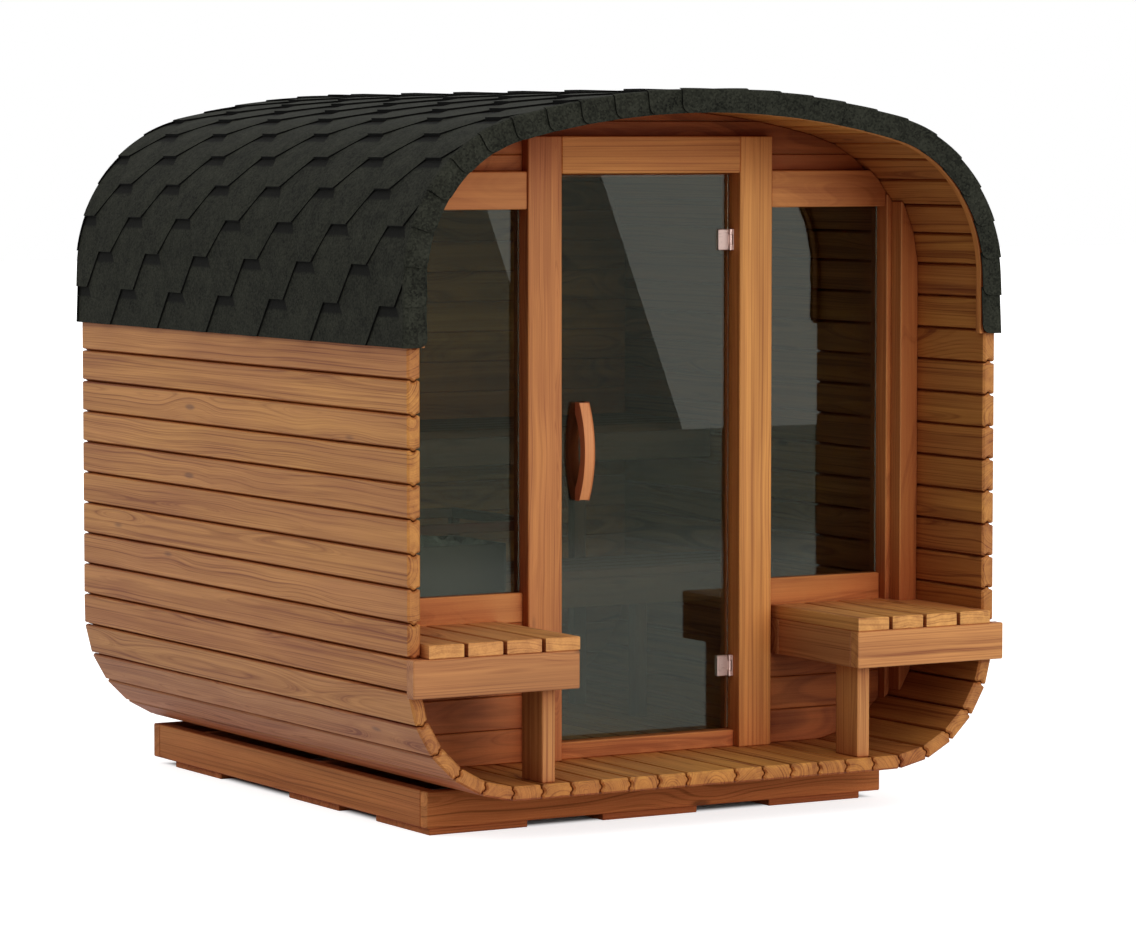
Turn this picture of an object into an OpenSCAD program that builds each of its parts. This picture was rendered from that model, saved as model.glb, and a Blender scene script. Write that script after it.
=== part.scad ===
// Outdoor sauna: a stave-built cabin with rounded corners, a porch with two
// benches, a glazed front wall with a hinged glass door, and a shingled roof.
// X runs across the front, Y from front to back, Z up. The origin is on the
// ground under the middle of the whole sauna.

/* [Shell] */
// Overall width over the wall staves
shell_w = 2085; // [1700:1:2800]
// Length of the staves, front to back
shell_len = 2257; // [1900:1:3200]
// Clear height from the floor to the middle of the ceiling
room_h = 1999; // [1950:1:2500]
// Thickness of the staves
stave_t = 43; // [30:1:60]
// Width of the wide board in the middle of the floor
floor_key_w = 173; // [120:1:220]
// Width of the other floor boards
floor_board_w = 101; // [80:1:102]
// Radius of the rounded bottom corners, inside
corner_r = 340; // [250:1:420]
// Radius of the shoulders under the roof, inside
shoulder_r = 443; // [350:1:520]
// Radius of the shallow ceiling arch, inside
crown_r = 2725; // [2300:1:3600]
// Height of the lowest wall joint above the floor
wall_joint_h = 401; // [380:1:460]
// Number of staves around each bottom corner
corner_staves = 7; // [5:1:9]
// Number of staves in each straight wall
wall_staves = 10; // [8:1:10]
// Number of staves around each shoulder
shoulder_staves = 7; // [7:1:8]

/* [Roof] */
// Thickness of the shingle covering
shingle_t = 18; // [8:1:24]
// Height of the covering's lower edge above the floor
eave_h = 1302; // [1100:1:1400]
// Thickness of the folded shingles over the front ends of the staves
front_trim_t = 17; // [8:1:30]
// Thickness of the folded shingles over the back ends of the staves
back_trim_t = 9; // [6:1:30]
// How far the trims reach inwards past the staves
trim_lap = 15; // [8:1:30]
// Depth of the lath behind the front trim
lath_depth = 25; // [15:1:40]

/* [Base] */
// Width of the base frame
base_w = 1636; // [1300:1:1640]
// Length of the base frame
base_len = 1900; // [1500:1:2100]
// Distance from the front ends of the staves back to the base frame
base_set_back = 296; // [100:1:340]
// Height of the base beams
beam_h = 111; // [80:1:180]
// Thickness of the base beams
beam_t = 45; // [30:1:70]
// Side of the square pads under the beams
pad_side = 340; // [200:1:400]
// Thickness of the pads
pad_t = 22; // [15:1:40]
// Distance between neighbouring pads across the base
pad_pitch_x = 606; // [450:1:620]
// Sideways shift of the rows of pads
pad_shift_x = -28; // [-40:1:40]
// Distance from the base's front end to the middles of the front pads
front_pad_y = 183; // [175:1:210]
// Distance from the base's front end to the middles of the middle pads
middle_pad_y = 766; // [640:1:900]
// Distance from the base's front end to the middles of the back pads
back_pad_y = 1591; // [1350:1:1600]

/* [Front wall] */
// Depth of the porch, from the stave ends to the front of the door posts
porch_depth = 415; // [300:1:480]
// Depth of the posts and rails of the front wall
frame_t = 95; // [90:1:140]
// Width of each door post
post_w = 119; // [80:1:130]
// Distance of the doorway's middle to the right of the sauna's middle
door_shift = 42; // [-60:1:60]
// Clear width of the doorway
doorway_w = 644; // [500:1:800]
// Height of the lintel's underside above the floor
doorway_h = 1800; // [1700:1:1840]
// Height of the lintel
lintel_h = 114; // [80:1:120]
// Height of the door sill
sill_h = 52; // [30:1:70]
// Set-back of the sill behind the posts' front
sill_set_back = 29; // [10:1:40]
// Width of the jambs beside the windows, at the side walls
jamb_w = 82; // [60:1:110]
// Height of the underside of the rails over the windows
window_top_h = 1692; // [1500:1:1700]
// Height of the rails over the windows
top_rail_h = 115; // [80:1:120]
// Set-back of the rails over the windows
top_rail_set_back = 6; // [0:1:20]
// Height of the underside of the rails under the windows
window_rail_h = 431; // [400:1:500]
// Height of the rails under the windows
bottom_rail_h = 91; // [60:1:120]
// Set-back of the rails under the windows
bottom_rail_set_back = 34; // [30:1:40]
// Thickness of the wall boards
board_t = 42; // [20:1:50]
// Set-back of the wall boards behind the posts' front
board_set_back = 35; // [34:1:48]
// Thickness of the window panes
pane_t = 8; // [5:1:10]
// Set-back of the window panes behind the posts' front
pane_set_back = 56; // [50:1:70]
// Width of the battens on the side walls, in front of the jambs
batten_w = 66; // [30:1:75]
// Depth of those battens
batten_depth = 57; // [30:1:80]
// Distance from the back ends of the staves to the back wall
back_set_in = 60; // [30:1:120]

/* [Door] */
// Thickness of the door glass
door_t = 8; // [6:1:10]
// Gap around the door glass
door_gap = 5; // [5:1:8]
// Gap between the door glass and the hinge post
hinge_gap = 10; // [10:1:14]
// Set-back of the door glass behind the posts' front
door_set_back = 49; // [44:1:52]
// Height of each hinge
hinge_h = 66; // [50:1:90]
// Width of the clamp that holds the glass
clamp_w = 36; // [30:1:50]
// Thickness of each cheek of the clamp
clamp_t = 8; // [5:1:8]
// Height of the middle of the lower hinge above the floor
low_hinge_h = 255; // [200:1:400]
// Height of the middle of the upper hinge above the floor
high_hinge_h = 1592; // [1400:1:1620]
// Radius of the hinge pin
pin_r = 2.5; // [2:0.1:3]
// Radius of the hinge barrel
barrel_r = 5; // [4.5:0.1:5.5]
// Radial running clearance between pin and barrel
pin_gap = 0.05; // [0.02:0.01:0.1]
// Thickness of the stop lath behind the door
stop_t = 12; // [8:1:14]
// Length of the door handle
handle_len = 298; // [200:1:360]
// Width of the door handle
handle_w = 36; // [24:1:44]
// How far the handle stands off the glass, over all
handle_out = 56; // [45:1:60]
// Thickness of the handle's bow
handle_t = 22; // [16:1:26]
// Height of the handle's middle above the floor
handle_mid_h = 948; // [850:1:1100]
// Distance from the door's free edge to the middle of the handle
handle_inset = 88; // [60:1:140]

/* [Porch benches] */
// Height of the bench tops above the floor
bench_h = 440; // [360:1:530]
// Thickness of the bench slats
slat_t = 41; // [25:1:50]
// Gap between the bench slats
slat_gap = 14; // [8:1:24]
// Gap between the outer slat and the side wall
slat_side_gap = 2; // [1:1:8]
// Number of slats in each porch bench
slat_count = 4; // [3:1:5]
// Height of the boards under the slats
rail_h = 114; // [80:1:130]
// Thickness of the boards under the slats
rail_t = 44; // [30:1:50]
// How far the front boards stand in front of the stave ends
bench_out = 44; // [30:1:60]
// How far the front boards reach past the side walls
bench_side_out = 6; // [0:1:20]
// Gap between the left door post and the left bench, across the front
left_bench_gap = 89.5; // [20:0.5:150]
// Gap between the right door post and the right bench, across the front
right_bench_gap = 20.5; // [10:0.5:100]
// Width of the bench legs, front to back
leg_depth = 123; // [80:1:160]
// Distance from the stave ends to the front of the legs
leg_set_back = 25; // [0:1:60]
// Distance from the inner end of each front board to its leg
leg_inset = 45; // [0:1:100]

/* [Cabin] */
// Height of the upper bench top above the floor
upper_bench_h = 945; // [850:1:1000]
// Depth of the upper bench
upper_bench_depth = 560; // [450:1:650]
// Height of the lower bench top above the floor
lower_bench_h = 500; // [400:1:560]
// How far the lower bench stands in front of the upper one
lower_bench_depth = 395; // [300:1:400]
// Height of the fronts of both cabin benches
cabin_rail_h = 95; // [60:1:130]
// Thickness of the cabin bench slats
cabin_slat_t = 28; // [20:1:35]
// Gap between the cabin bench slats
cabin_slat_gap = 12; // [6:1:20]
// Side of the square legs of the cabin benches
cabin_leg_w = 45; // [35:1:60]
// Width of the heater
heater_w = 340; // [280:1:380]
// Depth of the heater
heater_depth = 330; // [250:1:380]
// Distance from the side wall to the heater
heater_side_gap = 300; // [150:1:320]
// Height of the heater's top above the floor
heater_h = 660; // [550:1:680]
// Height of the heater's legs
heater_leg_h = 120; // [80:1:200]
// Depth of the heater's stone basket
basket_depth = 180; // [100:1:250]
// Thickness of the heater's walls around the stones
heater_wall = 10; // [6:1:20]
// Height of the heater guard's top above the floor
guard_h = 738; // [700:1:800]
// Distance from the heater guard to the side wall, across the cabin
guard_w = 710; // [650:1:720]
// Depth of the heater guard, front to back
guard_depth = 560; // [480:1:570]
// Side of the square bars of the heater guard
guard_bar = 30; // [20:1:40]

/* [Hidden] */
$fn = 64;

// Colours of the timber, shingles, glass and metal
wood = [0.69, 0.47, 0.30];
dark_wood = [0.55, 0.35, 0.22];
shingle = [0.19, 0.20, 0.18];
smoked = [0.25, 0.26, 0.25, 0.5];
metal = [0.80, 0.68, 0.63];
steel = [0.45, 0.46, 0.47];

// Heights above the ground
floor_z = pad_t + beam_h + stave_t;

// Places along Y: the whole length is centred on the origin
front_y = bench_out - (bench_out + shell_len + back_trim_t) / 2;
back_y = front_y + shell_len;
wall_y = front_y + porch_depth;
frame_back_y = wall_y + frame_t;
back_wall_y = back_y - back_set_in - board_t;
base_y = front_y + base_set_back;

// Places along X
room_half = shell_w / 2 - stave_t;
door_left = door_shift - doorway_w / 2;
door_right = door_shift + doorway_w / 2;
window_half = room_half - jamb_w;
batten_x = room_half - batten_w;

// The ring of staves, followed from the middle of the floor up to the middle
// of the ceiling, by lengths along the middle of the staves' thickness
mid = stave_t / 2;
shoulder_x = room_half - shoulder_r;
crown_angle = asin(shoulder_x / (crown_r - shoulder_r));
shoulder_h = room_h - crown_r + (crown_r - shoulder_r) * cos(crown_angle);
corner_start = room_half - corner_r;
corner_end = corner_start + (corner_r + mid) * PI / 2;
shoulder_start = corner_end + shoulder_h - corner_r;
shoulder_end = shoulder_start
    + (shoulder_r + mid) * (90 - crown_angle) * PI / 180;
ring_end = shoulder_end + (crown_r + mid) * crown_angle * PI / 180;

// Point of the ring at length s, moved outwards by out from the inner face
function ring_point(s, out) =
    s <= corner_start ? [s, -out] :
    s <= corner_end ? let (a = (s - corner_start) / (corner_r + mid) * 180 / PI)
        [corner_start + (corner_r + out) * sin(a),
         corner_r - (corner_r + out) * cos(a)] :
    s <= shoulder_start ? [room_half + out, corner_r + s - corner_end] :
    s <= shoulder_end ? let (a = (s - shoulder_start) / (shoulder_r + mid) * 180 / PI)
        [shoulder_x + (shoulder_r + out) * cos(a),
         shoulder_h + (shoulder_r + out) * sin(a)] :
    let (a = (ring_end - s) / (crown_r + mid) * 180 / PI)
        [(crown_r + out) * sin(a), room_h - crown_r + (crown_r + out) * cos(a)];

// Joints between the staves, as lengths along the ring
floor_boards = floor((corner_start - floor_key_w / 2) / floor_board_w - 0.5);
floor_last = floor_key_w / 2 + floor_boards * floor_board_w;
wall_first = corner_end + wall_joint_h - corner_r;
corner_pitch = (wall_first - floor_last) / corner_staves;
// The staves over the top have one in the middle, so each half holds a
// whole number of staves and a half
top_count = round((ring_end - wall_first) / floor_board_w - 0.5);
top_pitch = (ring_end - wall_first) / (top_count + 0.5);
corner_joints = [for (i = [0 : corner_staves]) floor_last + i * corner_pitch];
top_joints = [for (i = [0 : top_count]) wall_first + i * top_pitch];
shoulder_stop = wall_staves + shoulder_staves;
eave_s = corner_end + eave_h - corner_r;

// Joints from length s0 up to the middle of the ceiling, s0 included
function joints_above(s0) =
    concat([s0], [for (s = top_joints) if (s > s0 + 1) s]);
// Joints from s0 to s1, both included
function joints_between(s0, s1) =
    concat([s0], [for (s = top_joints) if (s > s0 + 1 && s < s1 - 1) s], [s1]);

// A list of points backwards, and a list of points mirrored to the left
function backwards(list) = [for (i = [len(list) - 1 : -1 : 0]) list[i]];
function to_left(list) = [for (p = backwards(list)) [-p[0], p[1]]];
function line(s_list, out) = [for (s = s_list) ring_point(s, out)];

// Outline of one stretch of the ring, from out0 to out1 off the inner face
function stretch(s_list, out0, out1) =
    concat(line(s_list, out1), backwards(line(s_list, out0)));
// Outline of a stretch that runs over the top, from s0 on one side to s0 on
// the other
function arch(s_list, out0, out1) =
    concat(line(s_list, out1), to_left(line(s_list, out1)),
        backwards(concat(line(s_list, out0), to_left(line(s_list, out0)))));

// Outline of the room between the inner faces of the staves
room_line = concat([[0, 0]], line(corner_joints, 0), line(top_joints, 0));
room_outline = concat(room_line, to_left(room_line));

// An outline drawn in X and height, made into a solid from y0 to y1
module upright(y0, y1) {
    translate([0, y1, floor_z]) rotate([90, 0, 0])
        linear_extrude(y1 - y0) children();
}
module whole_shell() {
    upright(front_y, back_y) children();
}

// A block given by its lowest and highest corners, heights from the floor
module block(x0, x1, y0, y1, z0, z1) {
    translate([x0, y0, floor_z + z0]) cube([x1 - x0, y1 - y0, z1 - z0]);
}

// A block that ends against the staves where it meets them
module room_block(x0, x1, y0, y1, z0, z1) {
    upright(y0, y1) intersection() {
        translate([x0, z0]) square([x1 - x0, z1 - z0]);
        polygon(room_outline);
    }
}

// Base: three rows of square pads, two side beams, and cross beams at both
// ends and over the two back rows of pads
module base_pads() {
    color(dark_wood)
        for (i = [-1 : 1], y = [front_pad_y, middle_pad_y, back_pad_y])
            translate([pad_shift_x + i * pad_pitch_x - pad_side / 2,
                       base_y + y - pad_side / 2, 0])
                cube([pad_side, pad_side, pad_t]);
}
module base_side_beams() {
    color(dark_wood)
        for (x = [-base_w / 2, base_w / 2 - beam_t])
            translate([x, base_y + beam_t, pad_t])
                cube([beam_t, base_len - 2 * beam_t, beam_h]);
}
module cross_beam(y, w) {
    translate([-w / 2, y, pad_t]) cube([w, beam_t, beam_h]);
}
module base_cross_beams() {
    color(dark_wood) {
        cross_beam(base_y, base_w);
        for (y = [middle_pad_y, back_pad_y])
            cross_beam(base_y + y - beam_t / 2, base_w - 2 * beam_t);
        cross_beam(base_y + base_len - beam_t, base_w);
    }
}

// Shell
module floor_staves() {
    color(wood) whole_shell()
        translate([-floor_last, -stave_t]) square([2 * floor_last, stave_t]);
}
module right_bottom_staves() {
    color(wood) whole_shell() polygon(stretch(corner_joints, 0, stave_t));
}
module left_bottom_staves() { mirror([1, 0, 0]) right_bottom_staves(); }
module right_wall_staves() {
    color(wood) whole_shell()
        polygon(stretch([wall_first, top_joints[wall_staves]], 0, stave_t));
}
module left_wall_staves() { mirror([1, 0, 0]) right_wall_staves(); }
module right_shoulder_staves() {
    shoulder_joints = [for (i = [wall_staves : shoulder_stop]) top_joints[i]];
    color(wood) whole_shell() polygon(stretch(shoulder_joints, 0, stave_t));
}
module left_shoulder_staves() { mirror([1, 0, 0]) right_shoulder_staves(); }
module crown_staves() {
    crown_joints = [for (i = [shoulder_stop : top_count]) top_joints[i]];
    color(wood) whole_shell() polygon(arch(crown_joints, 0, stave_t));
}

// Roof covering over the staves, and the folded shingles over their ends
module right_roof_shingles() {
    color(shingle) whole_shell()
        polygon(stretch(joints_between(eave_s, top_joints[shoulder_stop]),
            stave_t, stave_t + shingle_t));
}
module left_roof_shingles() { mirror([1, 0, 0]) right_roof_shingles(); }
module crown_roof_shingles() {
    crown_joints = [for (i = [shoulder_stop : top_count]) top_joints[i]];
    color(shingle) whole_shell()
        polygon(arch(crown_joints, stave_t, stave_t + shingle_t));
}
module roof_trim(y0, y1) {
    color(shingle) upright(y0, y1)
        polygon(arch(joints_above(eave_s), -trim_lap, stave_t + shingle_t));
}
module front_roof_trim() { roof_trim(front_y - front_trim_t, front_y); }
module back_roof_trim() { roof_trim(back_y, back_y + back_trim_t); }
module front_arch_lath() {
    color(wood) upright(front_y, front_y + lath_depth)
        polygon(arch(joints_above(eave_s), -trim_lap, 0));
}

// Front wall
module door_posts() {
    color(wood) {
        room_block(door_left - post_w, door_left, wall_y, frame_back_y,
            0, doorway_h + lintel_h);
        room_block(door_right, door_right + post_w, wall_y, frame_back_y,
            0, doorway_h + lintel_h);
    }
}
module door_lintel() {
    color(wood) block(door_left, door_right, wall_y, frame_back_y,
        doorway_h, doorway_h + lintel_h);
}
module door_sill() {
    color(wood) block(door_left, door_right, wall_y + sill_set_back,
        frame_back_y, 0, sill_h);
}
// Lath around the doorway behind the glass
module door_stop() {
    stop_y = glass_y + door_t + clamp_t + door_gap;
    color(wood) difference() {
        block(door_left, door_right, stop_y, frame_back_y, sill_h, doorway_h);
        block(door_left + stop_t, door_right - stop_t, stop_y - 1,
            frame_back_y + 1, sill_h - 1, doorway_h - stop_t);
    }
}
// One window rail on each side, from the door post to the side wall
module window_rails(y0, z0, h, reach) {
    color(wood) {
        room_block(-reach, door_left - post_w, y0, frame_back_y, z0, z0 + h);
        room_block(door_right + post_w, reach, y0, frame_back_y, z0, z0 + h);
    }
}
module window_top_rails() {
    window_rails(wall_y + top_rail_set_back, window_top_h, top_rail_h,
        window_half);
}
module window_bottom_rails() {
    window_rails(wall_y + bottom_rail_set_back, window_rail_h, bottom_rail_h,
        window_half);
}
module wall_jambs() {
    color(wood) for (side = [-1, 1])
        room_block(min(side * window_half, side * shell_w / 2),
            max(side * window_half, side * shell_w / 2),
            wall_y, frame_back_y, 0, room_h);
}
module porch_battens() {
    color(wood) for (side = [-1, 1])
        room_block(min(side * batten_x, side * shell_w / 2),
            max(side * batten_x, side * shell_w / 2),
            wall_y - batten_depth, wall_y, 0, room_h);
}
module window_panes() {
    pane_y = wall_y + pane_set_back;
    sill_top = window_rail_h + bottom_rail_h;
    color(smoked) {
        room_block(-window_half, door_left - post_w,
            pane_y, pane_y + pane_t, sill_top, window_top_h);
        room_block(door_right + post_w, window_half,
            pane_y, pane_y + pane_t, sill_top, window_top_h);
    }
}
module lower_boards() {
    y0 = wall_y + board_set_back;
    color(wood) {
        room_block(-window_half, door_left - post_w,
            y0, y0 + board_t, 0, window_rail_h);
        room_block(door_right + post_w, window_half,
            y0, y0 + board_t, 0, window_rail_h);
    }
}
// Boards that fill the arch over the posts, lintel and window rails
module gable_boards() {
    rail_top = window_top_h + top_rail_h;
    y0 = wall_y + board_set_back;
    color(wood) upright(y0, y0 + board_t) difference() {
        intersection() {
            translate([-window_half, rail_top])
                square([2 * window_half, room_h - rail_top + 1]);
            polygon(room_outline);
        }
        translate([door_left - post_w, rail_top - 1])
            square([doorway_w + 2 * post_w, doorway_h + lintel_h - rail_top + 1]);
    }
}
module back_wall() {
    color(wood) upright(back_wall_y, back_wall_y + board_t)
        polygon(room_outline);
}

// Door: a glass pane with two clamps, hung on two plates
glass_y = wall_y + door_set_back;
glass_left = door_left + door_gap;
glass_right = door_right - hinge_gap;
hinge_x = glass_right;
hinge_y = glass_y - clamp_t;
// The clamp's part of the barrel, and the glass notch that it joins through
barrel_h = hinge_h * 0.45;
barrel_gap = 1;
notch_h = hinge_h * 0.6;
notch_w = 20;
// Distance from the pin's middle to the clamp
clamp_clear = barrel_r + 3;
// How far the plate reaches in front of the pin's middle
plate_lead = 20;
// Length of each foot of the handle's bow along the glass
handle_foot = 30;

module door_glass() {
    color(smoked) difference() {
        block(glass_left, glass_right, glass_y, glass_y + door_t,
            sill_h + door_gap, doorway_h - door_gap);
        for (h = [low_hinge_h, high_hinge_h])
            block(glass_right - clamp_clear - notch_w, glass_right + 1,
                glass_y - 1, glass_y + door_t + 1,
                h - notch_h / 2, h + notch_h / 2);
    }
}
// Clamp: a cheek on each side of the glass, joined through its notch, with
// the middle of the hinge barrel
module hinge_clamp(h) {
    clamp_right = hinge_x - clamp_clear;
    difference() {
        union() {
            block(clamp_right - clamp_w, clamp_right, hinge_y, glass_y,
                h - hinge_h / 2, h + hinge_h / 2);
            block(clamp_right - clamp_w, clamp_right, glass_y + door_t,
                glass_y + door_t + clamp_t, h - hinge_h / 2, h + hinge_h / 2);
            block(clamp_right - notch_w, clamp_right, glass_y,
                glass_y + door_t, h - notch_h / 2, h + notch_h / 2);
            block(clamp_right - 1, hinge_x, hinge_y, hinge_y + barrel_r - 1,
                h - barrel_h / 2, h + barrel_h / 2);
            translate([hinge_x, hinge_y, floor_z + h - barrel_h / 2])
                cylinder(r = barrel_r, h = barrel_h);
        }
        translate([hinge_x, hinge_y, floor_z + h - hinge_h])
            cylinder(r = pin_r + pin_gap, h = 2 * hinge_h);
    }
}
module hinge_clamps() {
    color(metal) for (h = [low_hinge_h, high_hinge_h]) hinge_clamp(h);
}
// Plate on the door post, with the pin and the two ends of the barrel
module hinge_plate(h) {
    end_h = (hinge_h - barrel_h) / 2 - barrel_gap;
    plate_x = hinge_x + barrel_r + barrel_gap;
    block(plate_x, door_right, hinge_y - plate_lead,
        hinge_y + 2 * clamp_t + door_t, h - hinge_h / 2, h + hinge_h / 2);
    translate([hinge_x, hinge_y, floor_z + h - hinge_h / 2])
        cylinder(r = pin_r, h = hinge_h);
    for (z = [h - hinge_h / 2, h + hinge_h / 2 - end_h]) {
        translate([hinge_x, hinge_y, floor_z + z])
            cylinder(r = barrel_r, h = end_h);
        block(hinge_x, plate_x + 1, hinge_y - barrel_r + 1,
            hinge_y + barrel_r - 1, z, z + end_h);
    }
}
module hinge_plates() {
    color(metal) for (h = [low_hinge_h, high_hinge_h]) hinge_plate(h);
}
// A bow whose two feet stand on the glass
module handle_bow() {
    rise = handle_out - handle_t;
    half = handle_len / 2;
    inner_half = half - handle_foot;
    outer_r = (half * half + rise * rise) / (2 * rise);
    inner_r = (inner_half * inner_half + rise * rise) / (2 * rise);
    translate([-handle_w / 2, 0, 0]) rotate([90, 0, 90])
        linear_extrude(handle_w) difference() {
            intersection() {
                translate([0, -half]) square([handle_out + 1, handle_len]);
                translate([handle_out - outer_r, 0]) circle(outer_r, $fn = 256);
            }
            translate([rise - inner_r, 0]) circle(inner_r, $fn = 256);
        }
}
module door_handles() {
    handle_x = glass_left + handle_inset;
    color(wood) {
        translate([handle_x, glass_y, floor_z + handle_mid_h])
            mirror([0, 1, 0]) handle_bow();
        translate([handle_x, glass_y + door_t, floor_z + handle_mid_h])
            handle_bow();
    }
}

// Porch benches: slats on a front board, a side rail and a back rail. Each
// bench's inner end is a distance from the sauna's middle.
left_bench_x = post_w - door_left + left_bench_gap;
right_bench_x = post_w + door_right + right_bench_gap;
bench_front_y = front_y - bench_out;
bench_back_y = wall_y + bottom_rail_set_back;
rail_z = bench_h - slat_t - rail_h;

// The outer slat is notched around the jamb and the batten
module bench_slats(inner_x) {
    all_w = room_half - slat_side_gap - inner_x;
    slat_w = (all_w - (slat_count - 1) * slat_gap) / slat_count;
    color(wood) difference() {
        for (i = [0 : slat_count - 1])
            room_block(inner_x + i * (slat_w + slat_gap),
                inner_x + i * (slat_w + slat_gap) + slat_w,
                bench_front_y, bench_back_y, bench_h - slat_t, bench_h);
        block(window_half, room_half + 1, wall_y, bench_back_y + 1,
            bench_h - slat_t - 1, bench_h + 1);
        block(batten_x, room_half + 1, wall_y - batten_depth, wall_y + 1,
            bench_h - slat_t - 1, bench_h + 1);
    }
}
module right_bench_slats() { bench_slats(right_bench_x); }
module left_bench_slats() { mirror([1, 0, 0]) bench_slats(left_bench_x); }
module bench_front_boards() {
    outer_x = shell_w / 2 + bench_side_out;
    color(wood) {
        block(right_bench_x, outer_x, bench_front_y, front_y,
            rail_z, rail_z + rail_h);
        block(-outer_x, -left_bench_x, bench_front_y, front_y,
            rail_z, rail_z + rail_h);
    }
}
module bench_side_rails() {
    color(wood) {
        block(right_bench_x, right_bench_x + rail_t, front_y,
            bench_back_y - rail_t, rail_z, rail_z + rail_h);
        block(-left_bench_x - rail_t, -left_bench_x, front_y,
            bench_back_y - rail_t, rail_z, rail_z + rail_h);
    }
}
module bench_back_rails() {
    color(wood) {
        block(right_bench_x, window_half, bench_back_y - rail_t,
            bench_back_y, rail_z, rail_z + rail_h);
        block(-window_half, -left_bench_x, bench_back_y - rail_t,
            bench_back_y, rail_z, rail_z + rail_h);
    }
}
module bench_legs() {
    color(wood) for (x = [right_bench_x + leg_inset,
                          -left_bench_x - leg_inset - rail_t])
        room_block(x, x + rail_t, front_y + leg_set_back,
            front_y + leg_set_back + leg_depth, 0, rail_z);
}

// Cabin benches along the back wall
upper_front_y = back_wall_y - upper_bench_depth;
lower_front_y = upper_front_y - lower_bench_depth;
cabin_rail_t = 28;
upper_slat_count = 5;
lower_slat_count = 4;

// Slats that run from side wall to side wall
module cabin_slats(y0, y1, top, count) {
    slat_w = (y1 - y0 - (count - 1) * cabin_slat_gap) / count;
    color(wood) for (i = [0 : count - 1])
        room_block(-shell_w / 2, shell_w / 2,
            y0 + i * (slat_w + cabin_slat_gap),
            y0 + i * (slat_w + cabin_slat_gap) + slat_w,
            top - cabin_slat_t, top);
}
// Front and back rails joined by bearers, on two front legs
module cabin_frame(y0, y1, top) {
    rail_top = top - cabin_slat_t;
    rail_low = rail_top - cabin_rail_h;
    // The legs stand midway between the middle and the side walls
    leg_x = room_half / 2;
    color(wood) {
        for (y = [y0, y1 - cabin_rail_t])
            room_block(-shell_w / 2, shell_w / 2, y, y + cabin_rail_t,
                rail_low, rail_top);
        for (x = [-leg_x, leg_x]) {
            block(x - cabin_rail_t / 2, x + cabin_rail_t / 2,
                y0, y1, rail_low, rail_top);
            room_block(x - cabin_leg_w / 2, x + cabin_leg_w / 2,
                y0 + cabin_rail_t, y0 + cabin_rail_t + cabin_leg_w,
                0, rail_top);
        }
    }
}
module upper_bench_slats() {
    cabin_slats(upper_front_y, back_wall_y, upper_bench_h, upper_slat_count);
}
module upper_bench_frame() {
    cabin_frame(upper_front_y, back_wall_y, upper_bench_h);
}
module lower_bench_slats() {
    cabin_slats(lower_front_y, upper_front_y, lower_bench_h, lower_slat_count);
}
module lower_bench_frame() {
    cabin_frame(lower_front_y, upper_front_y, lower_bench_h);
}

// Heater with an open stone basket, inside a guard of wooden bars
guard_y = frame_back_y;
heater_leg_w = 40;
module heater() {
    x0 = -room_half + heater_side_gap;
    x1 = x0 + heater_w;
    y0 = guard_y + (guard_depth - heater_depth) / 2;
    y1 = y0 + heater_depth;
    color(steel) {
        difference() {
            block(x0, x1, y0, y1, heater_leg_h, heater_h);
            block(x0 + heater_wall, x1 - heater_wall,
                y0 + heater_wall, y1 - heater_wall,
                heater_h - basket_depth, heater_h + 1);
        }
        for (x = [x0, x1 - heater_leg_w], y = [y0, y1 - heater_leg_w])
            room_block(x, x + heater_leg_w, y, y + heater_leg_w,
                0, heater_leg_h);
    }
}
module heater_guard() {
    x1 = -room_half + guard_w;
    y1 = guard_y + guard_depth;
    color(wood) {
        for (top = [guard_h, guard_h / 2]) {
            for (y = [guard_y, y1 - guard_bar])
                room_block(-shell_w / 2, x1, y, y + guard_bar,
                    top - guard_bar, top);
            block(x1 - guard_bar, x1, guard_y, y1, top - guard_bar, top);
        }
        for (y = [guard_y, y1 - guard_bar])
            block(x1 - guard_bar, x1, y, y + guard_bar, 0, guard_h);
    }
}

base_pads();
base_side_beams();
base_cross_beams();
floor_staves();
left_bottom_staves();
right_bottom_staves();
left_wall_staves();
right_wall_staves();
left_shoulder_staves();
right_shoulder_staves();
crown_staves();
left_roof_shingles();
crown_roof_shingles();
right_roof_shingles();
front_roof_trim();
back_roof_trim();
front_arch_lath();
door_posts();
door_lintel();
door_sill();
door_stop();
window_top_rails();
window_bottom_rails();
wall_jambs();
porch_battens();
window_panes();
lower_boards();
gable_boards();
back_wall();
door_glass();
hinge_clamps();
hinge_plates();
door_handles();
left_bench_slats();
right_bench_slats();
bench_front_boards();
bench_side_rails();
bench_back_rails();
bench_legs();
upper_bench_slats();
upper_bench_frame();
lower_bench_slats();
lower_bench_frame();
heater();
heater_guard();
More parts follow.
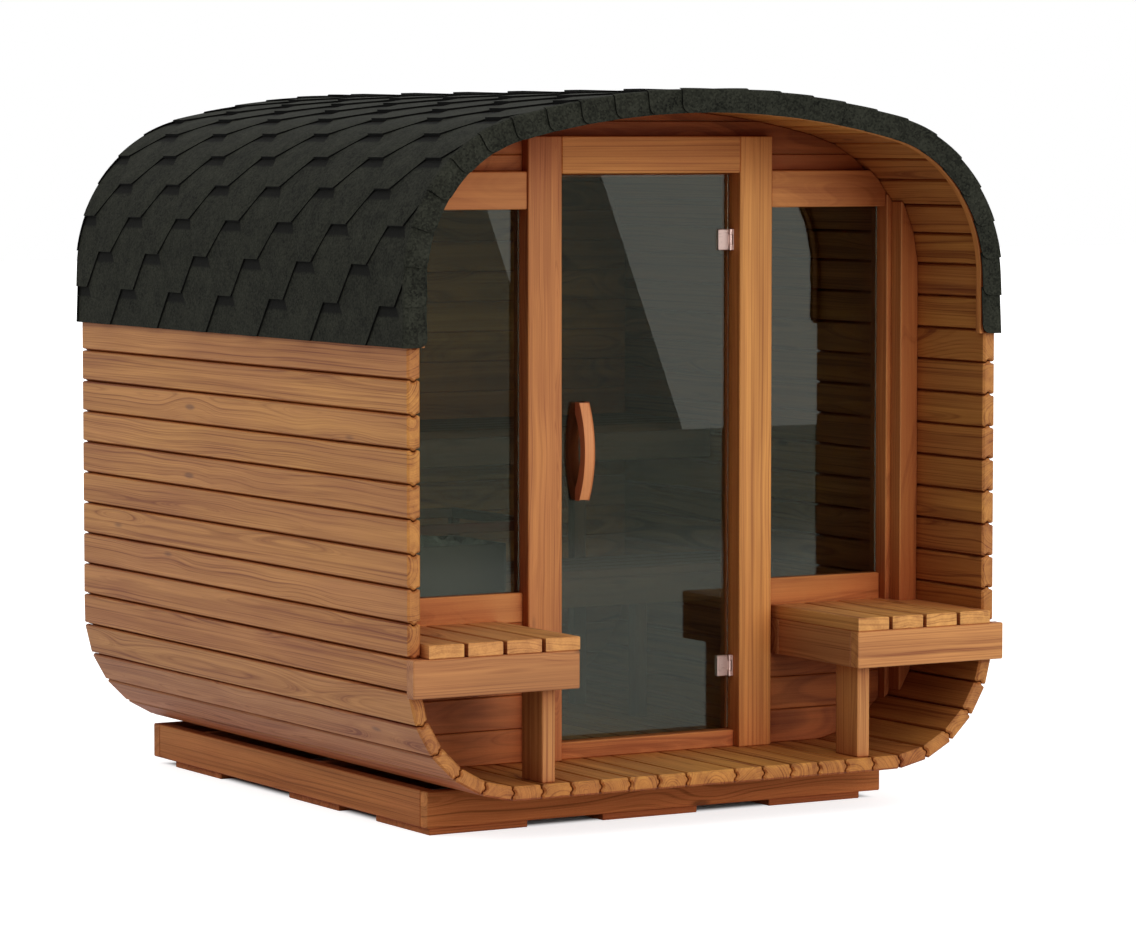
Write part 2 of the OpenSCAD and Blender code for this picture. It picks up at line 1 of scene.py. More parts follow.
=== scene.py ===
import math
import random
import bmesh
import bpy
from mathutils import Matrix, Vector


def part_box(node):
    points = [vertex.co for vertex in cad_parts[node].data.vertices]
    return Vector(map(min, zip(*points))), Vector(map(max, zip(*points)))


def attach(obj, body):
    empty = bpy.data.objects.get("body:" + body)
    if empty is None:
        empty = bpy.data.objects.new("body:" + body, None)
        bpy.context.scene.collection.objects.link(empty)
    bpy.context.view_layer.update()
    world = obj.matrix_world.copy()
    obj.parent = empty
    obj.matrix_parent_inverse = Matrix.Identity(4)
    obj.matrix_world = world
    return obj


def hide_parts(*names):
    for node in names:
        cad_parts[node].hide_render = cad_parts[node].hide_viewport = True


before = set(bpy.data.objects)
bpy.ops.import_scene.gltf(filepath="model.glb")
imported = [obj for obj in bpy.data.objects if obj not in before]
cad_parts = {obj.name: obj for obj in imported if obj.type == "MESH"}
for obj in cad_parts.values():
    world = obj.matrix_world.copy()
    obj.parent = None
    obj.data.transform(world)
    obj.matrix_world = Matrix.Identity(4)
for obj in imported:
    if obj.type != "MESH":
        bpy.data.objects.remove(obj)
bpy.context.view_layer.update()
dice = random.Random(7)


def low(node):
    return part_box(node)[0]


def high(node):
    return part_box(node)[1]


def ends_of(node):
    """The lowest and the highest corner of a CAD node."""
    return low(node), high(node)


# ---------------------------------------------------------------- sizes, in metres

FLOOR_Z = high("floor_staves").z
FRONT_Y = low("floor_staves").y
BACK_Y = high("floor_staves").y
STAVE_T = FLOOR_Z - low("floor_staves").z
ROOM_HALF = high("right_wall_staves").x - STAVE_T
ROOM_H = high("crown_staves").z - STAVE_T - FLOOR_Z
CORNER_R = 0.340
SHOULDER_R = 0.443
CROWN_R = 2.725
KEY_W = 0.173
CORNER_STAVES = 7
WALL_STAVES = 10
SHOULDER_STAVES = 7
HALF_TOP_STAVES = 23
SHINGLE_T = high("right_roof_shingles").x - high("right_wall_staves").x
EAVE_H = low("right_roof_shingles").z - FLOOR_Z

# The ring of staves is followed along the middle of its thickness, from the
# middle of the floor up the right side to the middle of the ceiling and down
MID = STAVE_T / 2
CORNER_S = ROOM_HALF - CORNER_R
WALL_S = CORNER_S + (CORNER_R + MID) * math.pi / 2
SHOULDER_X = ROOM_HALF - SHOULDER_R
CROWN_ANGLE = math.asin(SHOULDER_X / (CROWN_R - SHOULDER_R))
SHOULDER_H = ROOM_H - CROWN_R + (CROWN_R - SHOULDER_R) * math.cos(CROWN_ANGLE)
SHOULDER_S = WALL_S + SHOULDER_H - CORNER_R
CROWN_S = SHOULDER_S + (SHOULDER_R + MID) * (math.pi / 2 - CROWN_ANGLE)
TOP_S = CROWN_S + (CROWN_R + MID) * CROWN_ANGLE

FLOOR_END = high("floor_staves").x
FLOOR_W = (FLOOR_END - KEY_W / 2) / 5
JOINT_S = WALL_S + low("right_wall_staves").z - FLOOR_Z - CORNER_R
CORNER_W = (JOINT_S - FLOOR_END) / CORNER_STAVES
TOP_W = (TOP_S - JOINT_S) / (HALF_TOP_STAVES + 0.5)
EAVE_S = WALL_S + EAVE_H - CORNER_R


def ring_point(s, out):
    """Place in X and height above the floor at length s, out from the inner face."""
    if s > TOP_S:
        x, z = ring_point(2 * TOP_S - s, out)
        return -x, z
    if s <= CORNER_S:
        return s, -out
    if s <= WALL_S:
        a = (s - CORNER_S) / (CORNER_R + MID)
        return (CORNER_S + (CORNER_R + out) * math.sin(a),
                CORNER_R - (CORNER_R + out) * math.cos(a))
    if s <= SHOULDER_S:
        return ROOM_HALF + out, CORNER_R + s - WALL_S
    if s <= CROWN_S:
        a = (s - SHOULDER_S) / (SHOULDER_R + MID)
        return (SHOULDER_X + (SHOULDER_R + out) * math.cos(a),
                SHOULDER_H + (SHOULDER_R + out) * math.sin(a))
    a = (TOP_S - s) / (CROWN_R + MID)
    return (CROWN_R + out) * math.sin(a), ROOM_H - CROWN_R + (CROWN_R + out) * math.cos(a)


def room_outline():
    """The room's outline between the staves' inner faces, as X and height."""
    joints = [FLOOR_END + i * CORNER_W for i in range(CORNER_STAVES + 1)]
    joints += [JOINT_S + i * TOP_W for i in range(1, HALF_TOP_STAVES + 1)]
    right = [ring_point(s, 0) for s in joints]
    whole = right + [(-x, z) for x, z in reversed(right)]
    return [(x, z + FLOOR_Z) for x, z in whole]


# ---------------------------------------------------------------- outlines

def cut(outline, axis, limit, keep_low):
    """The part of a convex outline on one side of a straight line."""
    kept = []
    sign = 1 if keep_low else -1
    for a, b in zip(outline, outline[1:] + outline[:1]):
        da, db = sign * (a[axis] - limit), sign * (b[axis] - limit)
        if da <= 0:
            kept.append(a)
        if (da < 0 < db) or (db < 0 < da):
            t = da / (da - db)
            kept.append((a[0] + t * (b[0] - a[0]), a[1] + t * (b[1] - a[1])))
    return kept


def window_of(outline, u0, u1, v0, v1):
    """The part of a convex outline inside a rectangle."""
    for axis, limit, keep_low in ((0, u0, False), (0, u1, True), (1, v0, False), (1, v1, True)):
        outline = cut(outline, axis, limit, keep_low)
    return outline


def rectangle(u0, u1, v0, v1):
    return [(u0, v0), (u1, v0), (u1, v1), (u0, v1)]


def turned(a, b, c):
    """The turn at b on the way from a to c, in radians, left positive."""
    first = math.atan2(b[1] - a[1], b[0] - a[0])
    second = math.atan2(c[1] - b[1], c[0] - b[0])
    return (second - first + math.pi) % (2 * math.pi) - math.pi


def eased(outline, radius):
    """An outline whose sharp corners are rounded off."""
    if radius == 0:
        return list(outline)
    made = []
    for a, b, c in zip(outline[-1:] + outline[:-1], outline, outline[1:] + outline[:1]):
        turn = turned(a, b, c)
        reach = radius * math.tan(abs(turn) / 2)
        if abs(turn) < 0.4 or reach > 0.45 * min(math.dist(a, b), math.dist(b, c)):
            made.append(b)
            continue
        start = [b[i] + (a[i] - b[i]) * reach / math.dist(a, b) for i in (0, 1)]
        heading = math.atan2(b[1] - a[1], b[0] - a[0])
        side = math.copysign(radius, turn)
        centre = (start[0] - side * math.sin(heading), start[1] + side * math.cos(heading))
        for angle in (heading, heading + turn):
            made.append((centre[0] + side * math.sin(angle), centre[1] - side * math.cos(angle)))
    return made


def shrunk(outline, depth):
    """An outline moved inwards by depth, corner by corner."""
    made = []
    for a, b, c in zip(outline[-1:] + outline[:-1], outline, outline[1:] + outline[:1]):
        e1 = Vector((b[0] - a[0], b[1] - a[1])).normalized()
        e2 = Vector((c[0] - b[0], c[1] - b[1])).normalized()
        n1, n2 = Vector((-e1.y, e1.x)), Vector((-e2.y, e2.x))
        both = n1 + n2
        move = both * (depth / max(both.dot(n1), 0.2))
        made.append((b[0] + move.x, b[1] + move.y))
    return made


# ---------------------------------------------------------------- boards

# Where in a log a board may lie: along it, and beside and over its heart
LOG_LEN = 40.0
LOG_SIDE = 0.08
HEART_NEAR, HEART_FAR = 0.03, 0.10


class Boards:
    """Boards gathered into one mesh. Each point keeps its place in the log that its
    board was sawn from, along, across and through the grain, and the board's tone.
    Most tones lie between -1 for dark and 1 for light."""

    def __init__(self):
        self.points = []
        self.faces = []
        self.grain = []
        self.tone = []

    def add(self, outline, plane, start, end, grain, ease, ends=None, log=None, tone=None):
        """A board with this outline in a plane such as "xz", from start to end
        along the third axis. grain names the axes along, across and through it."""
        ends = ease if ends is None else ends
        outline = eased(outline, ease)
        small = shrunk(outline, ends)
        third = "xyz".replace(plane[0], "").replace(plane[1], "")
        order = {plane[0]: 0, plane[1]: 1, third: 2}
        log = log or (dice.uniform(0, LOG_LEN), dice.uniform(-LOG_SIDE, LOG_SIDE),
                      dice.choice((-1, 1)) * dice.uniform(HEART_NEAR, HEART_FAR))
        tone = dice.uniform(-1, 1) if tone is None else tone
        middle = [sum(p[i] for p in outline) / len(outline) for i in (0, 1)] + [0]
        first = len(self.points)
        for loop, place in ((small, start), (outline, start + ends),
                            (outline, end - ends), (small, end)):
            for u, v in loop:
                spot = (u, v, place)
                self.points.append(tuple(spot[order[k]] for k in "xyz"))
                self.grain.append(tuple(spot[order[k]] - middle[order[k]] + log[i]
                                        for i, k in enumerate(grain)))
                self.tone.append((tone, 0, 0))
        n = len(outline)
        for ring in range(3):
            for i in range(n):
                a, b = first + ring * n + i, first + ring * n + (i + 1) % n
                self.faces.append((a, b, b + n, a + n))
        self.faces.append(tuple(first + i for i in reversed(range(n))))
        self.faces.append(tuple(first + 3 * n + i for i in range(n)))

    def box(self, corner, far, grain, ease, tone=None):
        """A board between two opposite corners, with all its edges eased."""
        plane = "".join(sorted(grain[1:]))
        index = ["xyz".index(k) for k in plane]
        along = "xyz".index(grain[0])
        outline = rectangle(corner[index[0]], far[index[0]], corner[index[1]], far[index[1]])
        self.add(outline, plane, corner[along], far[along], grain, ease, tone=tone)


def mesh_of(name, points, faces, attributes, domain="POINT"):
    """A mesh with outward faces and the named vector attributes."""
    mesh = bpy.data.meshes.new(name)
    mesh.from_pydata(points, [], faces)
    for key, values in attributes.items():
        layer = mesh.attributes.new(key, "FLOAT_VECTOR", domain)
        layer.data.foreach_set("vector", [x for v in values for x in v])
    shape = bmesh.new()
    shape.from_mesh(mesh)
    bmesh.ops.recalc_face_normals(shape, faces=shape.faces)
    shape.to_mesh(mesh)
    shape.free()
    return mesh


def new_object(name, data):
    """An object in the scene, with this data."""
    made = bpy.data.objects.new(name, data)
    bpy.context.scene.collection.objects.link(made)
    return made


def piece_of(name, mesh, finish, nodes=(), body="cabin"):
    """Shows a finished mesh: what it rides on, what it stands for, its finish."""
    piece = new_object(name, mesh)
    if finish:
        mesh.materials.clear()
        mesh.materials.append(finish)
    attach(piece, body)
    if nodes:
        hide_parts(*nodes)


def timber_piece(name, boards, finish, nodes=(), body="cabin"):
    mesh = mesh_of(name, boards.points, boards.faces,
                   {"grain": boards.grain, "tone": boards.tone})
    piece_of(name, mesh, finish, nodes, body)


def boxed_piece(name, node, finish, ease, boxes):
    """A piece made of boxes, each given by two corners, its grain and maybe its tone."""
    boards = Boards()
    for corner, far, grain, *tone in boxes:
        boards.box(corner, far, grain, ease, *tone)
    timber_piece(name, boards, finish, (node,))


# ---------------------------------------------------------------- node helpers

def add(tree, kind, links=None, **settings):
    """Adds a node with its settings, and its inputs linked or set. A node given for
    an input stands for its first output."""
    node = tree.nodes.new(kind)
    for key, value in settings.items():
        setattr(node, key, value)
    for key, value in (links or {}).items():
        socket = node.inputs[key]
        if isinstance(value, bpy.types.Node):
            value = value.outputs[0]
        if isinstance(value, bpy.types.NodeSocket):
            tree.links.new(value, socket)
        else:
            socket.default_value = value
    return node


def hexed(code):
    """An sRGB hex colour as linear RGBA."""
    parts = [int(code[i:i + 2], 16) / 255 for i in (0, 2, 4)]
    return tuple(c / 12.92 if c <= 0.04045 else ((c + 0.055) / 1.055) ** 2.4
                 for c in parts) + (1,)


# ---------------------------------------------------------------- materials

def new_material(name):
    material = bpy.data.materials.new(name)
    material.use_nodes = True
    tree = material.node_tree
    tree.nodes.clear()
    return material, tree


def grain_pattern(tree, place, along, across, detail, roughness=0.6):
    """A cloudy pattern drawn out along the grain."""
    drawn = add(tree, "ShaderNodeVectorMath", {0: place, 1: (along, across, across)},
                operation="MULTIPLY")
    return add(tree, "ShaderNodeTexNoise", {
        "Vector": drawn, "Scale": 1.0, "Detail": detail, "Roughness": roughness})


def swayed_grain(tree, grain):
    """The place in a trunk that sways a little along its length and whose grain bends
    round knots, and how much of it is a knot's core."""
    wander = grain_pattern(tree, grain, 1.2, 4.0, 1.0)
    spots = add(tree, "ShaderNodeVectorMath", {0: grain, 1: (1.9, 7.0, 7.0)}, operation="MULTIPLY")
    cells = add(tree, "ShaderNodeTexVoronoi", {"Vector": spots, "Scale": 1.0, "Randomness": 1.0})
    core = add(tree, "ShaderNodeMapRange", {0: cells.outputs["Distance"], 1: 0.03, 2: 0.09,
                                            3: 0.6, 4: 0.0}, interpolation_type="SMOOTHSTEP")
    swell = add(tree, "ShaderNodeMapRange", {
        0: cells.outputs["Distance"], 1: 0.03, 2: 0.5, 3: 0.012, 4: 0.0},
        interpolation_type="SMOOTHERSTEP")
    drift = add(tree, "ShaderNodeMath", {0: wander, 1: 0.05, 2: swell}, operation="MULTIPLY_ADD")
    spread = add(tree, "ShaderNodeCombineXYZ", {1: drift, 2: drift})
    swayed = add(tree, "ShaderNodeVectorMath", {0: grain, 1: spread}, operation="ADD")
    return swayed, core


def wood_streaks(tree, grain, swayed, contrast):
    """How dark the late-wood lines round the heart, softer bands and fine fibres make
    a place, and the fibres alone."""
    along = add(tree, "ShaderNodeSeparateXYZ", {0: swayed})
    around = add(tree, "ShaderNodeVectorMath", {0: swayed, 1: (0.0, 1.0, 1.0)},
                 operation="MULTIPLY")
    heart = add(tree, "ShaderNodeVectorMath", {0: around}, operation="LENGTH")
    log = add(tree, "ShaderNodeCombineXYZ", {0: along, 1: heart.outputs["Value"]})
    rings = grain_pattern(tree, log, 0.45, 1.0 / RING_W, 3.0, 0.65)
    bands = grain_pattern(tree, swayed, 0.55, 26.0, 3.0)
    fibres = grain_pattern(tree, grain, 3.0, 320.0, 2.0)
    share = 0.0
    for streaks, start, end, amount in ((rings, 0.48, 0.66, 0.46), (bands, 0.35, 0.68, 0.38),
                                        (fibres, 0.3, 0.7, 0.22)):
        dark_part = add(tree, "ShaderNodeMapRange", {
            0: streaks, 1: start, 2: end, 4: amount * contrast})
        share = add(tree, "ShaderNodeMath", {0: share, 1: dark_part}, operation="ADD",
                    use_clamp=True)
    return share, fibres


def toned(tree, colour, swayed):
    """The colour on boards that differ in lightness and are each a little mottled;
    the paler is yellower."""
    board = add(tree, "ShaderNodeAttribute", attribute_name="tone").outputs["Vector"]
    tone = add(tree, "ShaderNodeSeparateXYZ", {0: board})
    bright = add(tree, "ShaderNodeMapRange", {
        0: tone, 1: -1.0, 3: 1.0 - TONE_SPREAD, 4: 1.0 + TONE_SPREAD}, clamp=False)
    clouds = grain_pattern(tree, swayed, 1.6, 9.0, 3.0)
    mottle = add(tree, "ShaderNodeMapRange", {0: clouds, 1: 0.3, 2: 0.7, 3: -0.06, 4: 0.06})
    lit = add(tree, "ShaderNodeMath", {0: bright, 1: mottle}, operation="ADD")
    warm = add(tree, "ShaderNodeMapRange", {0: lit, 1: 0.87, 2: 1.13, 3: 0.492, 4: 0.505})
    return add(tree, "ShaderNodeHueSaturation", {"Hue": warm, "Value": lit, "Color": colour})


def recess_shaded(tree, colour):
    """The colour and the specular level with painted shade: darker, redder and
    less glossy in recesses, by ambient occlusion."""
    ambient_occ = add(tree, "ShaderNodeAmbientOcclusion", {"Distance": 0.35}, samples=3)
    unoccluded = add(tree, "ShaderNodeMapRange", {0: ambient_occ.outputs["AO"], 1: 0.30, 2: 0.90})
    shade_tint_mix = add(tree, "ShaderNodeMix", {
        0: unoccluded, 6: hexed(RECESS_SHADE_TINT), 7: hexed("FFFFFF")}, data_type="RGBA")
    shade_painted = add(tree, "ShaderNodeVectorMath", {0: colour, 1: shade_tint_mix.outputs[2]}, operation="MULTIPLY")
    occluded_sheen = add(tree, "ShaderNodeMapRange", {0: unoccluded, 3: 0.10, 4: 0.38})
    return shade_painted, occluded_sheen


def timber(name, light, dark, knot, gloss=0.55, contrast=1.0):
    """Oiled heat-treated pine, planed: warm brown, satin, with darker late wood in
    rings round the heart of the log. Real rings are 1 to 3 mm apart; they are drawn
    wider, so that they show as streaks."""
    material, tree = new_material(name)
    grain = add(tree, "ShaderNodeAttribute", attribute_name="grain").outputs["Vector"]
    swayed, core = swayed_grain(tree, grain)
    share, fibres = wood_streaks(tree, grain, swayed, contrast)
    streaked = add(tree, "ShaderNodeMix", {
        0: share, 6: hexed(light), 7: hexed(dark)}, data_type="RGBA")
    knotted = add(tree, "ShaderNodeMix", {
        0: core, 6: streaked.outputs[2], 7: hexed(knot)}, data_type="RGBA")
    # Painted shade: recesses are darkened, reddened and dulled by ambient occlusion
    colour, occluded_sheen = recess_shaded(tree, toned(tree, knotted.outputs[2], swayed))
    bump = add(tree, "ShaderNodeBump", {"Height": fibres, "Strength": 0.2, "Distance": 0.0006})
    rough = add(tree, "ShaderNodeMapRange", {0: share, 3: gloss - 0.05, 4: gloss + 0.10})
    shader = add(tree, "ShaderNodeBsdfPrincipled", {
        "Base Color": colour, "Roughness": rough, "Specular IOR Level": occluded_sheen,
        "Normal": bump, "IOR": 1.45})
    add(tree, "ShaderNodeOutputMaterial", {0: shader})
    return material


def bitumen_shingle():
    """Bitumen felt with slate granules, rolled on: matt, charcoal with a green
    cast, speckled. Granules of 1 to 2 mm are drawn at 5 to 6 mm, so that they show."""
    material, tree = new_material("slate_granule_bitumen")
    place = add(tree, "ShaderNodeTexCoord").outputs["Object"]
    tab = add(tree, "ShaderNodeAttribute", attribute_name="tab").outputs["Vector"]
    parts = add(tree, "ShaderNodeSeparateXYZ", {0: tab})
    grit = add(tree, "ShaderNodeTexVoronoi", {"Vector": place, "Scale": GRANULES_PER_M})
    speck = add(tree, "ShaderNodeSeparateColor", {0: grit.outputs["Color"]})
    cloud = add(tree, "ShaderNodeTexNoise", {
        "Vector": place, "Scale": 14.0, "Detail": 5.0, "Roughness": 0.7})
    level = add(tree, "ShaderNodeMath", {0: speck, 1: 0.5, 2: cloud}, operation="MULTIPLY_ADD")
    share = add(tree, "ShaderNodeMapRange", {0: level, 1: 0.35, 2: 1.15})
    mixed = add(tree, "ShaderNodeMix", {0: share, 6: hexed(GRANULE_DARK),
                                        7: hexed(GRANULE_LIGHT)}, data_type="RGBA")
    # Painted light: the folded flaps, which face the front, are made paler
    flap_light = add(tree, "ShaderNodeMapRange", {
        0: parts.outputs["Z"], 1: -1.0, 2: 0.0, 3: 1.10, 4: 1.0})
    flap_lit = add(tree, "ShaderNodeVectorMath", {0: mixed.outputs[2], "Scale": flap_light},
                 operation="SCALE")
    # Painted shade under the next course's tab, also a darker printed band of granules at the top
    # of each tab
    tab_shade_band = add(tree, "ShaderNodeMapRange", {
        0: parts.outputs["Y"], 1: 1.68, 2: 1.78, 3: 0.0, 4: 0.85}, interpolation_type="SMOOTHSTEP")
    shaded = add(tree, "ShaderNodeMix", {0: tab_shade_band, 6: flap_lit, 7: hexed(BITUMEN)}, data_type="RGBA")
    # The cut edges show the black felt
    edge = add(tree, "ShaderNodeMix", {0: parts.outputs["Z"], 6: shaded.outputs[2],
                                       7: hexed(BITUMEN)}, data_type="RGBA")
    bump = add(tree, "ShaderNodeBump", {"Height": speck, "Strength": 0.5, "Distance": 0.0008})
    shader = add(tree, "ShaderNodeBsdfPrincipled", {
        "Base Color": edge.outputs[2], "Roughness": 0.92, "Specular IOR Level": 0.1,
        "Normal": bump, "IOR": 1.5})
    add(tree, "ShaderNodeOutputMaterial", {0: shader})
    return material


def smoked_glass():
    """Toughened float glass, smoked grey through and through, polished. Lamps
    reach through it."""
    material, tree = new_material("smoked_float_glass")
    shader = add(tree, "ShaderNodeBsdfPrincipled", {
        "Base Color": hexed("A3ABA0"), "Roughness": 0.0, "IOR": 1.6,
        "Specular Tint": hexed("F3F7EC"), "Transmission Weight": 1.0})
    clear = add(tree, "ShaderNodeBsdfTransparent", {0: hexed("CDD3CB")})
    rays = add(tree, "ShaderNodeLightPath")
    both = add(tree, "ShaderNodeMixShader", {
        0: rays.outputs["Is Shadow Ray"], 1: shader, 2: clear})
    add(tree, "ShaderNodeOutputMaterial", {0: both})
    return material


def metal(name, colour, roughness, brushed):
    """Metal with a fine brushed or satin-plated surface: soft streaked highlights."""
    material, tree = new_material(name)
    place = add(tree, "ShaderNodeTexCoord").outputs["Object"]
    drawn = add(tree, "ShaderNodeMapping", {0: place, 3: brushed})
    streaks = add(tree, "ShaderNodeTexNoise", {"Vector": drawn, "Scale": 1.0, "Detail": 2.0})
    rough = add(tree, "ShaderNodeMapRange", {0: streaks, 3: roughness - 0.08, 4: roughness + 0.08})
    bump = add(tree, "ShaderNodeBump", {"Height": streaks, "Strength": 0.15, "Distance": 0.0002})
    shader = add(tree, "ShaderNodeBsdfPrincipled", {
        "Base Color": hexed(colour), "Metallic": 1.0, "Roughness": rough, "Normal": bump})
    add(tree, "ShaderNodeOutputMaterial", {0: shader})
    return material


def heater_stone():
    """Olivine diabase, broken and tumbled: grey-green, coarse, dull."""
    material, tree = new_material("olivine_stone")
    place = add(tree, "ShaderNodeTexCoord").outputs["Object"]
    mottle = add(tree, "ShaderNodeTexNoise", {
        "Vector": place, "Scale": 60.0, "Detail": 6.0, "Roughness": 0.7})
    colour = add(tree, "ShaderNodeMix", {
        0: mottle, 6: hexed("4A4B47"), 7: hexed("8F918A")}, data_type="RGBA")
    bump = add(tree, "ShaderNodeBump", {"Height": mottle, "Strength": 0.6, "Distance": 0.003})
    shader = add(tree, "ShaderNodeBsdfPrincipled", {
        "Base Color": colour.outputs[2], "Roughness": 0.85, "IOR": 1.5, "Normal": bump})
    add(tree, "ShaderNodeOutputMaterial", {0: shader})
    return material


RING_W = 0.005
TONE_SPREAD = 0.055     # how far boards differ in lightness, either way
# Painted shade: the colour that recesses are darkened towards
RECESS_SHADE_TINT = "DAA4A6"
GRANULES_PER_M = 180.0
GRANULE_DARK = "0B0C08"
GRANULE_LIGHT = "2E2F27"
BITUMEN = "070706"

stave_wood = timber("oiled_stave_pine", "B47A39", "6E3814", "4A2614", contrast=1.15)
frame_wood = timber("oiled_frame_pine", "C08142", "7E441D", "4A2614")
board_wood = timber("oiled_board_pine", "A8682F", "5E2D10", "301607", contrast=0.95)
bench_wood = timber("oiled_bench_pine", "C68B4C", "7E4822", "4A2614", contrast=1.1)
cabin_wood = timber("dark_cabin_alder", "6A4326", "3C200F", "301607")
base_wood = timber("treated_base_pine", "C68A4C", "744A22", "33180B", gloss=0.7)
handle_wood = timber("oiled_ash_handle", "C58452", "985828", "6A3B20", contrast=0.6)
shingle = bitumen_shingle()
glass = smoked_glass()
satin = metal("satin_plated_zinc", "D6BAB0", 0.30, (40.0, 40.0, 900.0))
steel = metal("brushed_dark_steel", "453D37", 0.45, (20.0, 20.0, 700.0))
stone = heater_stone()


# ---------------------------------------------------------------- rows and the ring

def ring_curve():
    """A closed curve through the middle of the staves, from the floor's middle
    round to the right."""
    curve = bpy.data.curves.new("stave_ring", "CURVE")
    curve.dimensions = "3D"
    spline = curve.splines.new("POLY")
    steps = 800
    spline.points.add(steps - 1)
    for i in range(steps):
        x, z = ring_point(2 * TOP_S * i / steps, MID)
        spline.points[i].co = (x, 0, z + FLOOR_Z, 1)
    spline.use_cyclic_u = True
    return new_object("stave_ring", curve)


def new_group(name, inputs, made):
    """A Geometry Nodes group with these inputs and one mesh made, and its input sockets."""
    tree = bpy.data.node_groups.new(name, "GeometryNodeTree")
    for socket, kind in inputs:
        tree.interface.new_socket(socket, in_out="INPUT", socket_type="NodeSocket" + kind)
    tree.interface.new_socket(made, in_out="OUTPUT", socket_type="NodeSocketGeometry")
    return tree, add(tree, "NodeGroupInput").outputs


def copies_in_line(tree, given):
    """The row, straight, with each copy at its own place in the log."""
    line = add(tree, "GeometryNodeMeshLine", {
        "Count": given["Count"], "Start Location": given["First"], "Offset": given["Step"]})
    copies = add(tree, "GeometryNodeInstanceOnPoints", {
        "Points": line, "Instance": given["Piece"]})
    log = add(tree, "FunctionNodeRandomValue", {
        0: (0.0, -LOG_SIDE, -HEART_FAR), 1: (LOG_LEN, LOG_SIDE, -HEART_NEAR),
        "Seed": given["Seed"]}, data_type="FLOAT_VECTOR")
    tone = add(tree, "FunctionNodeRandomValue", {
        0: (-1.0, 0.0, 0.0), 1: (1.0, 0.0, 0.0), "Seed": given["Seed"]}, data_type="FLOAT_VECTOR")
    raised = add(tree, "ShaderNodeCombineXYZ", {0: given["Lightness"]})
    shade = add(tree, "ShaderNodeVectorMath", {0: tone, 1: raised}, operation="ADD")
    for name, value in (("log", log), ("tone", shade)):
        copies = add(tree, "GeometryNodeStoreNamedAttribute",
                     {"Geometry": copies, "Name": name, "Value": value},
                     domain="INSTANCE", data_type="FLOAT_VECTOR")
    real = add(tree, "GeometryNodeRealizeInstances", {0: copies})
    grain, sawn = (add(tree, "GeometryNodeInputNamedAttribute", {0: name},
                       data_type="FLOAT_VECTOR") for name in ("grain", "log"))
    moved = add(tree, "ShaderNodeVectorMath", {0: grain, 1: sawn}, operation="ADD")
    return add(tree, "GeometryNodeStoreNamedAttribute",
               {"Geometry": real, "Name": "grain", "Value": moved},
               domain="POINT", data_type="FLOAT_VECTOR")


def place_round_ring(tree, given, place):
    """Where a place in the straight row lies when the row is bent round the ring."""
    flat = add(tree, "ShaderNodeSeparateXYZ", {0: place})
    around = add(tree, "ShaderNodeMath", {0: flat, 1: given["Ring length"]},
                 operation="FLOORED_MODULO")
    ring = add(tree, "GeometryNodeObjectInfo", {"Object": given["Ring"]})
    spot = add(tree, "GeometryNodeSampleCurve", {
        "Curves": ring.outputs["Geometry"], "Length": around}, mode="LENGTH")
    outward = add(tree, "ShaderNodeVectorMath", {
        0: (0.0, 1.0, 0.0), 1: spot.outputs["Tangent"]}, operation="CROSS_PRODUCT")
    off = add(tree, "ShaderNodeMath", {0: flat.outputs[2], 1: MID}, operation="SUBTRACT")
    out = add(tree, "ShaderNodeVectorMath", {0: outward, "Scale": off}, operation="SCALE")
    along = add(tree, "ShaderNodeCombineXYZ", {1: flat.outputs[1]})
    lifted = add(tree, "ShaderNodeVectorMath", {
        0: spot.outputs["Position"], 1: out}, operation="ADD")
    return add(tree, "ShaderNodeVectorMath", {0: lifted, 1: along}, operation="ADD")


def row_tree():
    """Geometry Nodes: a row of like pieces, left straight or bent round the ring, where
    X is the length along it and Z the distance out from its inner face."""
    tree, given = new_group("row_of_pieces", (
        ("Piece", "Geometry"), ("Count", "Int"), ("First", "Vector"), ("Step", "Vector"),
        ("Bend", "Bool"), ("Ring", "Object"), ("Ring length", "Float"), ("Seed", "Int"),
        ("Lightness", "Float"), ("Finish", "Material")), "Row")
    place = add(tree, "GeometryNodeInputPosition").outputs[0]
    chosen = add(tree, "GeometryNodeSwitch", {"Switch": given["Bend"]}, input_type="VECTOR")
    tree.links.new(place, chosen.inputs["False"])
    tree.links.new(place_round_ring(tree, given, place).outputs[0], chosen.inputs["True"])
    set_place = add(tree, "GeometryNodeSetPosition", {
        "Geometry": copies_in_line(tree, given), "Position": chosen})
    painted = add(tree, "GeometryNodeSetMaterial", {
        "Geometry": set_place, "Material": given["Finish"]})
    add(tree, "NodeGroupOutput", {0: painted})
    return tree


def applied(source, tree, inputs):
    """The mesh that a node tree makes of an object, which is then removed."""
    modifier = source.modifiers.new(tree.name, "NODES")
    modifier.node_group = tree
    sockets = {s.name: s.identifier for s in tree.interface.items_tree}
    for name, value in inputs.items():
        modifier[sockets[name]] = value
    bpy.context.view_layer.update()
    graph = bpy.context.evaluated_depsgraph_get()
    mesh = bpy.data.meshes.new_from_object(source.evaluated_get(graph))
    bpy.data.objects.remove(source)
    return mesh


def bent_row(mesh, finish, count=1, first=(0, 0, 0), step=(0, 0, 0), bend=True, seed=0,
             lightness=0.0):
    """The mesh of a row of copies of a mesh, bent round the ring or straight."""
    return applied(new_object("row", mesh), ROW, {
        "Count": count, "First": first, "Step": step, "Bend": bend, "Ring": RING,
        "Ring length": 2 * TOP_S, "Seed": seed, "Lightness": lightness, "Finish": finish})


def row(boards, finish, count, first, step, bend=False, seed=0, lightness=0.0):
    """The mesh of a row of copies of these boards."""
    mesh = mesh_of("row", boards.points, boards.faces, {"grain": boards.grain})
    return bent_row(mesh, finish, count, first, step, bend, seed, lightness)


